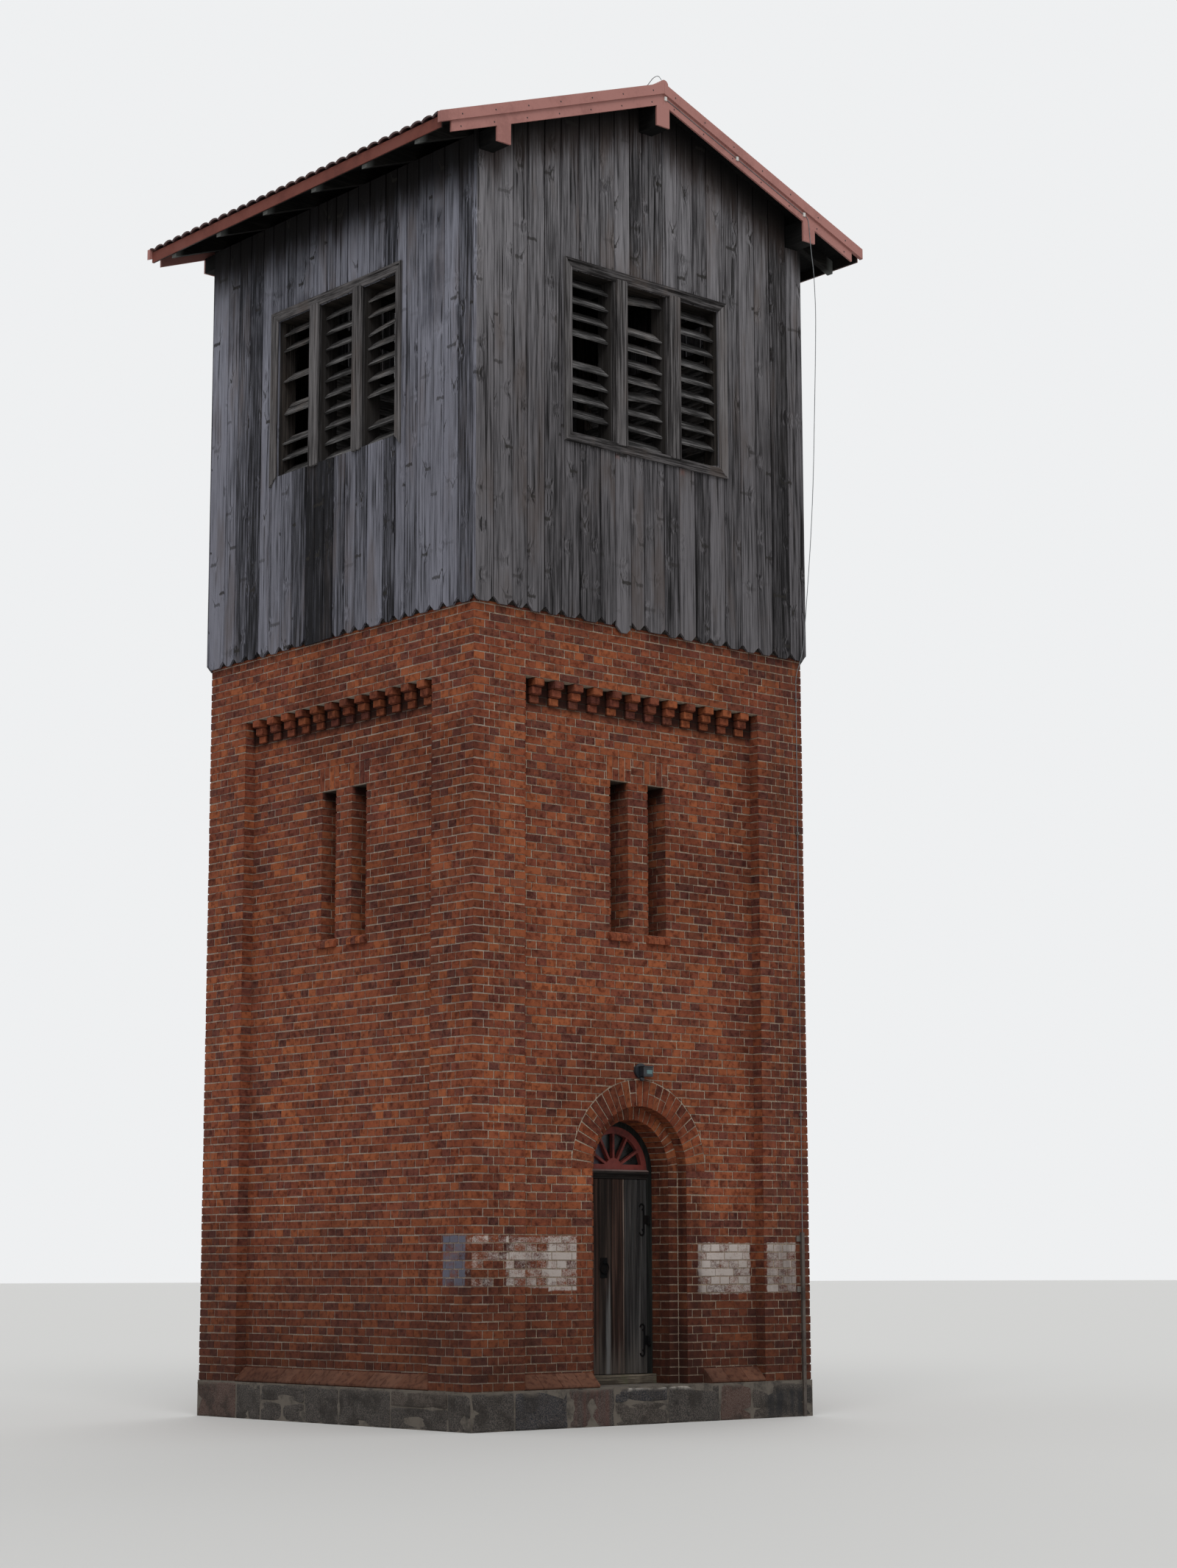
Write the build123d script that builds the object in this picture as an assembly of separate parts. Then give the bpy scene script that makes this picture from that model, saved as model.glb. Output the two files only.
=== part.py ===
from build123d import *
import os
from math import atan2, cos, radians, tan

# Bell tower: brick shaft on a fieldstone plinth, boarded belfry, low gable roof.
# Millimetres, +Z up, origin at ground level under the middle of the tower.
# The door is in the gable front, at -Y. The eaves are at -X and +X.

# Brickwork module
HEADER = 130                # one header with its joint
COURSE = 82                 # one course with its bed joint
PIER_HEADERS = 5            # corner piers, square in plan
PANEL_HEADERS = 25          # recessed panel between two piers
RECESS = 130                # the panel lies this far behind the piers
WALL_COURSES = 96           # height of the brick shaft
FRIEZE_COURSE = 85          # top of the corbel frieze
CORBEL_STEPS = 3
CORBEL_LAST_REACH = 40      # how far the lowest corbel brick stands out

# Plinth and ground floor
PLINTH_H = 370
PLINTH_PROUD = 15
FLOOR_LEDGE = 85            # the plinth carries the floor on this ledge
GROUND_FLOOR_T = 80
FLOOR_CLEAR = 3

# Slit windows, a pair in each panel
SLIT_W = 260
SLIT_PIER = 260
SLIT_SILL_COURSE = 55
SLIT_HEAD_COURSE = 74
SLIT_SILL_H = 90
SLIT_SILL_REACH = 45
SLIT_SILL_LAP = 25

# Moulded sill at the foot of each panel
PANEL_SILL_BACK_H = 150
PANEL_SILL_FRONT_H = 30
PANEL_SILL_STOP = 860       # the front sill stops here, right of the doorway

# Doorway of two orders under a round arch
ARCH_R = 650                # outer order
ARCH_RING = 260             # one brick deep
ORDER_STEP = 130            # the inner order is this much narrower
ORDER_DEPTH = 130           # and lies this far back
ARCH_SPRING = 2120          # above the plinth
DOOR_SETBACK = 515          # from the pier face to the door frame
FRAME_W = 65
FRAME_T = 100
LEAF_T = 45
LEAF_CLEAR = 5
LEAF_BOTTOM = 100           # above the plinth
LEAF_TOP = 2045
LEDGE_W = 120
LEDGE_T = 28
LEDGE_INSET = 40
LEDGE_HEIGHTS = (420, 1640)
TRANSOM_H = 92
TRANSOM_REACH = 25
FAN_FRAME = 70
FAN_RAIL = 52
FAN_T = 45
FAN_HUB_R = 115
FAN_SPOKE = 26
FAN_SPOKES = 5
GLASS_T = 4
STEP_BACK = 60
HINGE_HEIGHTS = (430, 1640)
HINGE_H = 330
HINGE_W = 105
HINGE_T = 6
HINGE_STEM_W = 16           # the hinge plate is a stem with a curl at each end
HINGE_CURL_R = 36
HINGE_PALM_W = 44           # and a palm at the knuckle
KNUCKLE_R = 11
KNUCKLE_H = 80
PIN_R = 5
PIN_CLEAR = 0.1
HANDLE_X = -140
HANDLE_Z = 1155
HANDLE_PLATE_W = 90
HANDLE_PLATE_H = 200
HANDLE_RING_R = 55
HANDLE_BAR_R = 7
HANDLE_BAR_SIDES = 4        # the ring is forged from square bar
HANDLE_CLEAR = 1            # the ring hangs this far off its plate

# Lamp over the arch
LAMP_Z = 3120               # above the plinth
LAMP_BASE_R = 75
LAMP_BASE_T = 35
LAMP_HEAD_W = 129
LAMP_HEAD_H = 103
LAMP_HEAD_LEFT = 30         # the head reaches this far to the left of the arm
LAMP_HEAD_DROP = 8
LAMP_HEAD_D = 60
LAMP_ARM_R = 9
LAMP_ARM = 10

# Belfry frame
SILL_BEAM_W = 200
SILL_BEAM_H = 220
POST = 180
WINDOW_POST = 140
JOIST_W = 120
JOIST_H = 180
JOISTS = 5
RAIL_W = 110
RAIL_T = 30
RAIL_OVER_SKIRT = 80        # middle of the lowest rail, above the board ends
RAIL_FROM_WINDOW = 560      # middle of the other rails, below and above the windows
BUTT_GAP = 1                # beams that butt stay this far apart

# Boarding of the belfry
SKIRT_DROP = 242            # the board ends hang this far below the wall top
BOARD_T = 25
BOARD_CLIP = 70
GABLE_BOARDS = (            # their widths from left to right
    257, 246, 191, 231, 224, 246, 279, 212, 213, 185,
    290, 209, 233, 203, 227, 250, 231, 234, 258, 241,
)
SIDE_BOARDS = (
    300, 198, 224, 235, 178, 217, 215, 239, 158, 162, 162,
    205, 190, 201, 273, 196, 170, 193, 226, 200, 233, 234,
)
HANGING_BOARD = 8           # this board of the front hangs lower than the rest
HANGING_DROP = 50
NEW_BOARDS = (8, 9, 10)     # these boards of the left side have square ends
CLAD_GAP = 3

# Louvre windows, three bays on each side
WINDOW_HALF_W = 1045
WINDOW_SILL_H = 1703        # above the wall top
WINDOW_H = 1740
MULLION_W = 190
JAMB_W = 60
BAYS = 3
CASING_W = 105
CASING_T = 22
CASING_BAND_W = 28          # raised outer edge of the casing
CASING_BAND_T = 8
SLATS = 10
SLAT_T = 18
SLAT_W = 190
SLAT_TILT = 42
TIPPED_TILT = 56            # a slat that has tipped forward
HANGING_ROLL = 6            # slats that hang down at one end

# Roof
RIDGE_Z = 13900             # the two slopes meet here
ROOF_RISE = 1125            # from the eave edge to the ridge
EAVE_REACH = 742            # from the tower face to the eave edge
GABLE_REACH = 360           # from the tower face to the barge boards
SHEET_T = 35
ROOF_BOARD_T = 25
RAFTER_H = 140
RAFTER_W = 80
RAFTERS = 6
RAFTER_END = 60             # the rafters stop this far short of the eave
PURLIN_W = 180
PURLIN_H = 173              # at the outer face of the side purlins
RIDGE_PURLIN_H = 266
BARGE_UPPER_H = 115
BARGE_LOWER_H = 115
BARGE_T = 22
BARGE_STEP = 23
BARGE_SHORT = 155           # the lower board stops this far short of the upper
FASCIA_H = 120
FASCIA_T = 25
FASCIA_DROP = 44
RIDGE_ROLL_R = 55
GABLE_BEAM_H = 180

# Lightning conductor: a wire along the ridge, down the front rake and the front wall
WIRE_R = 4
WIRE_SIDES = 6
WIRE_SEAT = 0.3             # clearance between the wire and what it lies on
WIRE_RAKE_DROP = 152        # below the roof surface, on the lower barge board
WIRE_RAKE_END = 2165        # where it leaves the rake
WIRE_HANGS = (              # past that: across, in towards the wall, and below the purlins
    (16, 0, -180),
    (44, 0, 110),
    (86, 6, 320),
    (124, 21, 765),
    (135, 56, 1465),
    (158, 150, 3010),
)
WIRE_WALL_X = 2162          # where it reaches the ground
WIRE_LEAN = 34              # how far it slants down the front wall
WIRE_HUGS = 160             # it comes in to the boards and to the bricks over this height
HOOP_H = 78
HOOP_Y = (300, 175, 95, 40) # start, rise, fall and foot of the ridge hoop, behind the gable edge
CLIP_W = 30
CLIP_H = 42
CLIP_T = 14
CLIP_CLEAR = 0.2
WALL_CLIP_HEIGHTS = (7560, 6100, 4600, 3100)
GUARD_W = 40
GUARD_T = 5
GUARD_DEPTH = 24
GUARD_H = 1885
GUARD_CLAMP_W = 90
GUARD_CLAMP_H = 60
GUARD_CLAMPS = (1270, 1790)

# Worked out from the sizes above
PIER = PIER_HEADERS * HEADER
HALF = (2 * PIER_HEADERS + PANEL_HEADERS) * HEADER / 2
PANEL_HALF = HALF - PIER
PANEL_FACE = HALF - RECESS
WALL_TOP = PLINTH_H + WALL_COURSES * COURSE
FRIEZE_TOP = PLINTH_H + FRIEZE_COURSE * COURSE
SLIT_SILL = PLINTH_H + SLIT_SILL_COURSE * COURSE
SLIT_HEAD = PLINTH_H + SLIT_HEAD_COURSE * COURSE
SLIT_X = (SLIT_W + SLIT_PIER) / 2
SPRING = PLINTH_H + ARCH_SPRING
INNER_R = ARCH_R - ORDER_STEP
FRAME_FACE = HALF - DOOR_SETBACK
LEAF_HALF = INNER_R - FRAME_W - LEAF_CLEAR
LEAF_Z0 = PLINTH_H + LEAF_BOTTOM
LEAF_Z1 = PLINTH_H + LEAF_TOP
LEAF_FACE = FRAME_FACE - LEAF_CLEAR
TRANSOM_Z = LEAF_Z1 + LEAF_CLEAR
FAN_Z = TRANSOM_Z + TRANSOM_H
HINGE_X = INNER_R - FRAME_W
HINGE_Y = -(FRAME_FACE + KNUCKLE_R + HINGE_T / 2)
CLAD_BACK = HALF + RAIL_T
CLAD_FACE = CLAD_BACK + BOARD_T
BELFRY_FLOOR = WALL_TOP + SILL_BEAM_H
SKIRT_Z = WALL_TOP - SKIRT_DROP
WINDOW_BOTTOM = WALL_TOP + WINDOW_SILL_H
WINDOW_TOP = WINDOW_BOTTOM + WINDOW_H
RAIL_LEVELS = (SKIRT_Z + RAIL_OVER_SKIRT, WINDOW_BOTTOM - RAIL_FROM_WINDOW, WINDOW_TOP + RAIL_FROM_WINDOW)
SLOPE = ROOF_RISE / (HALF + EAVE_REACH)
PITCH = atan2(ROOF_RISE, HALF + EAVE_REACH)
EAVE_X = HALF + EAVE_REACH
GABLE_Y = HALF + GABLE_REACH
BARGE_BACK = GABLE_Y - BARGE_T - BARGE_STEP
RAFTER_TOP = (SHEET_T + ROOF_BOARD_T) / cos(PITCH)
RAFTER_UNDER = (SHEET_T + ROOF_BOARD_T + RAFTER_H) / cos(PITCH)
PURLIN_BOTTOM = RIDGE_Z - SLOPE * HALF - RAFTER_UNDER - PURLIN_H
RIDGE_PURLIN_BOTTOM = RIDGE_Z - RAFTER_UNDER - RIDGE_PURLIN_H
RIDGE_TOP = RIDGE_Z - SLOPE * RIDGE_ROLL_R + RIDGE_ROLL_R
LOWER_BARGE_FACE = BARGE_BACK + BARGE_T
WIRE_WALL_Y = HALF + PLINTH_PROUD + WIRE_R + WIRE_SEAT

FRONT, RIGHT, BACK, LEFT = 0, 90, 180, 270

os.makedirs("parts", exist_ok=True)


def save(name, piece):
    """Write one piece, or several pieces that share a file, to their own STEP file."""
    shape = piece if isinstance(piece, (Part, Compound)) else Compound(children=list(piece))
    shape.label = name
    export_step(shape, f"parts/{name}.step")


def block(x0, x1, y0, y1, z0, z1):
    corner = Pos(min(x0, x1), min(y0, y1), min(z0, z1))
    return corner * Box(abs(x1 - x0), abs(y1 - y0), abs(z1 - z0), align=(Align.MIN,) * 3)


def plate_xz(outline, y0, y1):
    """A plate of this outline, given as (x, z), from y0 to y1."""
    face = make_face(Polyline(*[(x, 0, z) for x, z in outline], close=True))
    return Pos(0, y0, 0) * extrude(face, amount=y1 - y0, dir=(0, 1, 0))


def bar_yz(outline, x0, x1):
    """A bar of this section, given as (y, z), from x0 to x1."""
    face = make_face(Polyline(*[(0, y, z) for y, z in outline], close=True))
    return Pos(x0, 0, 0) * extrude(face, amount=x1 - x0, dir=(1, 0, 0))


def round_y(radius, x, z, y0, y1):
    """A cylinder along Y."""
    return Pos(x, (y0 + y1) / 2, z) * Rot(90, 0, 0) * Cylinder(radius, abs(y1 - y0))


def half_ring(outer, inner, z, y0, y1):
    """An arch of two concentric half circles, standing on the level z."""
    ring = round_y(outer, 0, z, y0, y1) - round_y(inner, 0, z, y0, y1)
    return ring & block(-outer, outer, y0, y1, z, z + outer)


def turn(shape, side):
    """Carry a piece of the front round to another side."""
    return Rot(0, 0, side) * shape


def roof_z(x, drop=0):
    """Height of the roof surface over x, less a vertical drop."""
    return RIDGE_Z - SLOPE * abs(x) - drop


# Plinth and floors

def plinth():
    outer = HALF + PLINTH_PROUD
    inner = PANEL_HALF - FLOOR_LEDGE
    ring = block(-outer, outer, -outer, outer, 0, PLINTH_H)
    return ring - block(-inner, inner, -inner, inner, 0, PLINTH_H)


def ground_floor():
    side = PANEL_HALF - FLOOR_CLEAR
    return block(-side, side, -side, side, PLINTH_H, PLINTH_H + GROUND_FLOOR_T)


# Brick shaft

def corner_piers():
    mid = PANEL_HALF + PIER / 2
    for x in (-mid, mid):
        for y in (-mid, mid):
            yield Pos(x, y, (PLINTH_H + WALL_TOP) / 2) * Box(PIER, PIER, WALL_TOP - PLINTH_H)


def panel(z0, z1):
    """Brickwork between two piers, with the band over the frieze flush with them."""
    wall = block(-PANEL_HALF, PANEL_HALF, -PANEL_FACE, -PANEL_HALF, z0, z1)
    band = block(-PANEL_HALF, PANEL_HALF, -HALF, -PANEL_HALF, FRIEZE_TOP, z1)
    wall = wall + band
    for x in (-SLIT_X, SLIT_X):
        wall -= block(x - SLIT_W / 2, x + SLIT_W / 2, -HALF, -PANEL_HALF, SLIT_SILL, SLIT_HEAD)
    return wall


def front_wall_beside_door():
    for side in (-1, 1):
        yield block(side * ARCH_R, side * PANEL_HALF, -PANEL_FACE, -PANEL_HALF, PLINTH_H, SPRING)


def front_wall_over_door():
    wall = panel(SPRING, WALL_TOP)
    ring = round_y(ARCH_R + ARCH_RING, 0, SPRING, -PANEL_FACE, -PANEL_HALF)
    return wall - ring


def door_arch():
    return half_ring(ARCH_R + ARCH_RING, ARCH_R, SPRING, -PANEL_FACE, -PANEL_HALF)


def inner_order():
    back = -(PANEL_FACE - ORDER_DEPTH)
    arch = half_ring(ARCH_R, INNER_R, SPRING, back, -PANEL_HALF)
    for side in (-1, 1):
        arch += block(side * INNER_R, side * ARCH_R, back, -PANEL_HALF, PLINTH_H, SPRING)
    return arch


def corbel(x):
    """Three bricks, each standing out less than the one above it."""
    outline = [(-PANEL_FACE, FRIEZE_TOP)]
    for step in range(CORBEL_STEPS):
        reach = RECESS - step * (RECESS - CORBEL_LAST_REACH) / (CORBEL_STEPS - 1)
        outline.append((-PANEL_FACE - reach, FRIEZE_TOP - step * COURSE))
        outline.append((-PANEL_FACE - reach, FRIEZE_TOP - (step + 1) * COURSE))
    outline.append((-PANEL_FACE, FRIEZE_TOP - CORBEL_STEPS * COURSE))
    return bar_yz(outline, x, x + HEADER)


def corbel_friezes():
    for side in (FRONT, RIGHT, BACK, LEFT):
        for n in range(1, PANEL_HEADERS, 2):
            yield turn(corbel(-PANEL_HALF + n * HEADER), side)


def panel_sill(x0, x1):
    section = [(-PANEL_FACE, PLINTH_H), (-HALF, PLINTH_H)]
    section += [(-HALF, PLINTH_H + PANEL_SILL_FRONT_H), (-PANEL_FACE, PLINTH_H + PANEL_SILL_BACK_H)]
    return bar_yz(section, x0, x1)


def panel_sills():
    yield panel_sill(-PANEL_HALF, -ARCH_R)
    yield panel_sill(PANEL_SILL_STOP, PANEL_HALF)
    for side in (RIGHT, BACK, LEFT):
        yield turn(panel_sill(-PANEL_HALF, PANEL_HALF), side)


def slit_sills():
    half = SLIT_W / 2 + SLIT_SILL_LAP
    nose = -PANEL_FACE - SLIT_SILL_REACH
    section = [(-PANEL_FACE, SLIT_SILL - SLIT_SILL_H), (nose, SLIT_SILL - SLIT_SILL_H)]
    section += [(nose, SLIT_SILL - SLIT_SILL_H / 3), (-PANEL_FACE, SLIT_SILL)]
    for side in (FRONT, RIGHT, BACK, LEFT):
        for x in (-SLIT_X, SLIT_X):
            yield turn(bar_yz(section, x - half, x + half), side)


# Doorway

def door_frame():
    face, back = -FRAME_FACE, -FRAME_FACE + FRAME_T
    foot = LEAF_Z0 - LEAF_CLEAR
    frame = half_ring(INNER_R, INNER_R - FRAME_W, SPRING, face, back)
    for side in (-1, 1):
        frame += block(side * (INNER_R - FRAME_W), side * INNER_R, face, back, foot, SPRING)
    return frame


def threshold():
    top = LEAF_Z0 - LEAF_CLEAR
    return block(-INNER_R, INNER_R, -FRAME_FACE - STEP_BACK, -FRAME_FACE + FRAME_T, PLINTH_H, top)


def transom():
    half = INNER_R - FRAME_W
    bar = block(-half, half, -FRAME_FACE, -FRAME_FACE + FRAME_T, TRANSOM_Z, FAN_Z)
    nose = -FRAME_FACE - TRANSOM_REACH
    section = [(-FRAME_FACE, TRANSOM_Z + TRANSOM_H / 3), (nose, TRANSOM_Z + TRANSOM_H / 2)]
    section += [(nose, FAN_Z - TRANSOM_H / 8), (-FRAME_FACE, FAN_Z)]
    frame = half_ring(INNER_R, half, SPRING, nose, -FRAME_FACE + FRAME_T)
    return bar + bar_yz(section, -half, half) - frame


def fan_edge_r():
    return INNER_R - FRAME_W


def fanlight():
    """Half-round light: rim, bottom rail, hub and spokes."""
    face = -FRAME_FACE + LEAF_CLEAR
    back = face + FAN_T
    rim_r = fan_edge_r()
    above = block(-rim_r, rim_r, face, back, FAN_Z, SPRING + rim_r)
    light = round_y(rim_r, 0, SPRING, face, back) - round_y(rim_r - FAN_FRAME, 0, SPRING, face, back)
    light += block(-rim_r, rim_r, face, back, FAN_Z, FAN_Z + FAN_RAIL)
    light += round_y(FAN_HUB_R, 0, FAN_Z, face, back)
    reach = rim_r - FAN_FRAME / 2
    spoke = Pos(reach / 2, 0, 0) * Box(reach, FAN_T, FAN_SPOKE)
    for n in range(1, FAN_SPOKES + 1):
        light += Pos(0, (face + back) / 2, FAN_Z) * Rot(0, -180 * n / (FAN_SPOKES + 1), 0) * spoke
    light = light & above
    return light & round_y(rim_r, 0, SPRING, face, back)


def fanlight_glass():
    edge = fan_edge_r()
    face = -FRAME_FACE + LEAF_CLEAR + FAN_T
    pane = round_y(edge, 0, SPRING, face, face + GLASS_T)
    return pane & block(-edge, edge, face, face + GLASS_T, FAN_Z, SPRING + edge)


def door_leaf():
    leaf = block(-LEAF_HALF, LEAF_HALF, -LEAF_FACE, -LEAF_FACE + LEAF_T, LEAF_Z0, LEAF_Z1)
    inside = -LEAF_FACE + LEAF_T
    half = LEAF_HALF - LEDGE_INSET
    for height in LEDGE_HEIGHTS:
        z = PLINTH_H + height
        leaf += block(-half, half, inside, inside + LEDGE_T, z - LEDGE_W / 2, z + LEDGE_W / 2)
    return leaf


def hinge_plate():
    """A stem with a curl at each end and a palm at the knuckle, drawn from the edge of the leaf."""
    stem_x = HINGE_CURL_R - HINGE_W
    curl_y = HINGE_H / 2 - HINGE_CURL_R
    eye_r = HINGE_CURL_R - HINGE_STEM_W
    plate = Pos(stem_x + HINGE_CURL_R - HINGE_STEM_W / 2, 0) * Rectangle(HINGE_STEM_W, 2 * curl_y)
    palm_w = -stem_x - HINGE_CURL_R + HINGE_STEM_W
    plate += Pos(-palm_w / 2, 0) * Rectangle(palm_w, 2 * HINGE_PALM_W)
    for end in (-1, 1):
        curl = Circle(HINGE_CURL_R) - Circle(eye_r)
        curl -= Pos(-HINGE_CURL_R / 2, -end * HINGE_CURL_R / 2) * Rectangle(HINGE_CURL_R, HINGE_CURL_R)
        plate += Pos(stem_x, end * curl_y) * curl
    return extrude(plate, amount=HINGE_T)


def door_hinges():
    """Curled plates on the leaf, each with the knuckle that turns on a pin."""
    face = -LEAF_FACE
    for height in HINGE_HEIGHTS:
        z = PLINTH_H + height
        plate = Pos(LEAF_HALF, face, z) * Rot(90, 0, 0) * hinge_plate()
        low, high = z - KNUCKLE_H / 2, z + KNUCKLE_H / 2
        lug = block(LEAF_HALF - KNUCKLE_R, LEAF_HALF, HINGE_Y, face - HINGE_T / 2, low, high)
        knuckle = Pos(HINGE_X, HINGE_Y, z) * Cylinder(KNUCKLE_R, KNUCKLE_H)
        bore = Pos(HINGE_X, HINGE_Y, z) * Cylinder(PIN_R + PIN_CLEAR, KNUCKLE_H)
        yield plate + lug + knuckle - bore


def door_pins():
    """Hinge pins with the plates that hold them to the frame."""
    for height in HINGE_HEIGHTS:
        z = PLINTH_H + height - KNUCKLE_H / 2
        pin = Pos(HINGE_X, HINGE_Y, z + (KNUCKLE_H - KNUCKLE_R) / 2) * Cylinder(PIN_R, KNUCKLE_H + KNUCKLE_R)
        head_z = z - PIN_CLEAR
        head = Pos(HINGE_X, HINGE_Y, head_z - KNUCKLE_R / 2) * Cylinder(KNUCKLE_R, KNUCKLE_R)
        lug = block(HINGE_X, HINGE_X + FRAME_W / 2, HINGE_Y, -FRAME_FACE, head_z - KNUCKLE_R, head_z)
        yield pin + head + lug


def door_handle():
    z = PLINTH_H + HANDLE_Z
    face = -LEAF_FACE
    plate = Pos(HANDLE_X, face - HINGE_T / 2, z) * Box(HANDLE_PLATE_W, HINGE_T, HANDLE_PLATE_H)
    y = face - HINGE_T - HANDLE_CLEAR - HANDLE_BAR_R
    boss = round_y(2 * HANDLE_BAR_R, HANDLE_X, z + HANDLE_RING_R, y - HANDLE_BAR_R, face - HINGE_T)
    section = Plane.XZ * Pos(HANDLE_RING_R, 0) * RegularPolygon(HANDLE_BAR_R, HANDLE_BAR_SIDES)
    ring = Pos(HANDLE_X, y, z) * Rot(90, 0, 0) * revolve(section, Axis.Z)
    return plate + boss + ring


def wall_lamp():
    z = PLINTH_H + LAMP_Z
    base = round_y(LAMP_BASE_R, 0, z, -PANEL_FACE - LAMP_BASE_T, -PANEL_FACE)
    arm_y = -PANEL_FACE - LAMP_BASE_T - LAMP_ARM
    arm = round_y(LAMP_ARM_R, 0, z, arm_y, -PANEL_FACE - LAMP_BASE_T)
    low = z - LAMP_HEAD_DROP - LAMP_HEAD_H / 2
    left = -LAMP_HEAD_LEFT
    head = block(left, left + LAMP_HEAD_W, arm_y - LAMP_HEAD_D, arm_y, low, low + LAMP_HEAD_H)
    return base + arm + head


# Belfry frame

def sill_beams():
    inner = HALF - SILL_BEAM_W
    for side in (FRONT, BACK):
        yield turn(block(-HALF, HALF, -HALF, -inner, WALL_TOP, BELFRY_FLOOR), side)
    for side in (RIGHT, LEFT):
        end = inner - BUTT_GAP
        yield turn(block(-end, end, -HALF, -inner, WALL_TOP, BELFRY_FLOOR), side)


def floor_joists():
    reach = HALF - SILL_BEAM_W - BUTT_GAP
    pitch = 2 * (reach - JOIST_W) / (JOISTS - 1)
    for n in range(JOISTS):
        y = -reach + JOIST_W + n * pitch - JOIST_W / 2
        yield block(-reach, reach, y, y + JOIST_W, WALL_TOP, WALL_TOP + JOIST_H)


def belfry_floor():
    side = HALF - SILL_BEAM_W - BUTT_GAP
    return block(-side, side, -side, side, WALL_TOP + JOIST_H, BELFRY_FLOOR)


def belfry_posts():
    """Corner posts, and a post at each side of every window."""
    corner = HALF - POST
    window = WINDOW_HALF_W
    for side in (FRONT, RIGHT, BACK, LEFT):
        yield turn(block(-HALF, -corner, -HALF, -corner, BELFRY_FLOOR, PURLIN_BOTTOM), side)
        for end in (-1, 1):
            x0, x1 = end * window, end * (window + WINDOW_POST)
            yield turn(block(x0, x1, -HALF, -corner, BELFRY_FLOOR, PURLIN_BOTTOM), side)


def ridge_posts():
    """Short posts on the gable beams, under the ridge purlin."""
    for side in (FRONT, BACK):
        z0 = PURLIN_BOTTOM + GABLE_BEAM_H
        half = WINDOW_POST / 2
        yield turn(block(-half, half, -HALF, -HALF + POST, z0, RIDGE_PURLIN_BOTTOM), side)


def gable_beams():
    end = HALF - PURLIN_W - BUTT_GAP
    for side in (FRONT, BACK):
        yield turn(block(-end, end, -HALF, -HALF + POST, PURLIN_BOTTOM, PURLIN_BOTTOM + GABLE_BEAM_H), side)


def window_rails():
    """Head and sill of each window, between its posts."""
    for side in (FRONT, RIGHT, BACK, LEFT):
        end = WINDOW_HALF_W
        for z0 in (WINDOW_BOTTOM - RAIL_W, WINDOW_TOP):
            yield turn(block(-end, end, -CLAD_BACK, -HALF + POST, z0, z0 + RAIL_W), side)


def purlins():
    for end in (-1, 1):
        x0, x1 = end * (HALF - PURLIN_W), end * HALF
        outline = [(x0, PURLIN_BOTTOM), (x1, PURLIN_BOTTOM)]
        outline += [(x1, roof_z(x1, RAFTER_UNDER)), (x0, roof_z(x0, RAFTER_UNDER))]
        yield plate_xz(outline, -BARGE_BACK, BARGE_BACK)
    half = PURLIN_W / 2
    outline = [(-half, RIDGE_PURLIN_BOTTOM), (half, RIDGE_PURLIN_BOTTOM), (half, roof_z(half, RAFTER_UNDER))]
    outline += [(0, roof_z(0, RAFTER_UNDER)), (-half, roof_z(half, RAFTER_UNDER))]
    yield plate_xz(outline, -BARGE_BACK, BARGE_BACK)


def slope_strip(x0, x1, upper, lower):
    """Outline of a layer of the roof between x0 and x1, by its vertical drops."""
    underside = [(x0, roof_z(x0, lower)), (x1, roof_z(x1, lower))]
    return underside + [(x1, roof_z(x1, upper)), (x0, roof_z(x0, upper))]


def rafters():
    first = HALF - POST / 2
    for n in range(RAFTERS):
        y = -first + n * 2 * first / (RAFTERS - 1)
        for end in (-1, 1):
            outline = slope_strip(end * BUTT_GAP, end * (EAVE_X - RAFTER_END), RAFTER_TOP, RAFTER_UNDER)
            yield plate_xz(outline, y - RAFTER_W / 2, y + RAFTER_W / 2)


def roof_boards():
    for end in (-1, 1):
        outline = slope_strip(end * BUTT_GAP, end * (EAVE_X - RAFTER_END), SHEET_T / cos(PITCH), RAFTER_TOP)
        yield plate_xz(outline, -BARGE_BACK, BARGE_BACK)


def roof_sheets():
    for end in (-1, 1):
        outline = slope_strip(end * BUTT_GAP, end * EAVE_X, 0, SHEET_T / cos(PITCH))
        yield plate_xz(outline, -BARGE_BACK, BARGE_BACK)


def ridge_cap():
    roll = round_y(RIDGE_ROLL_R, 0, roof_z(RIDGE_ROLL_R), -GABLE_Y, GABLE_Y)
    over = 2 * RIDGE_ROLL_R
    wedge = [(-over, roof_z(over)), (0, roof_z(0)), (over, roof_z(over))]
    wedge += [(over, RIDGE_Z + over), (-over, RIDGE_Z + over)]
    return roll & plate_xz(wedge, -GABLE_Y, GABLE_Y)


def barge_boards():
    """The upper board of each rake, which stands in front of the lower one."""
    for side in (FRONT, BACK):
        for end in (-1, 1):
            outline = slope_strip(end * BUTT_GAP, end * EAVE_X, 0, BARGE_UPPER_H)
            yield turn(plate_xz(outline, -GABLE_Y, -BARGE_BACK), side)


def lower_barge_boards():
    low = BARGE_UPPER_H + BARGE_LOWER_H
    for side in (FRONT, BACK):
        for end in (-1, 1):
            outline = slope_strip(end * BUTT_GAP, end * (EAVE_X - BARGE_SHORT), BARGE_UPPER_H, low)
            yield turn(plate_xz(outline, -LOWER_BARGE_FACE, -BARGE_BACK), side)


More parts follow.
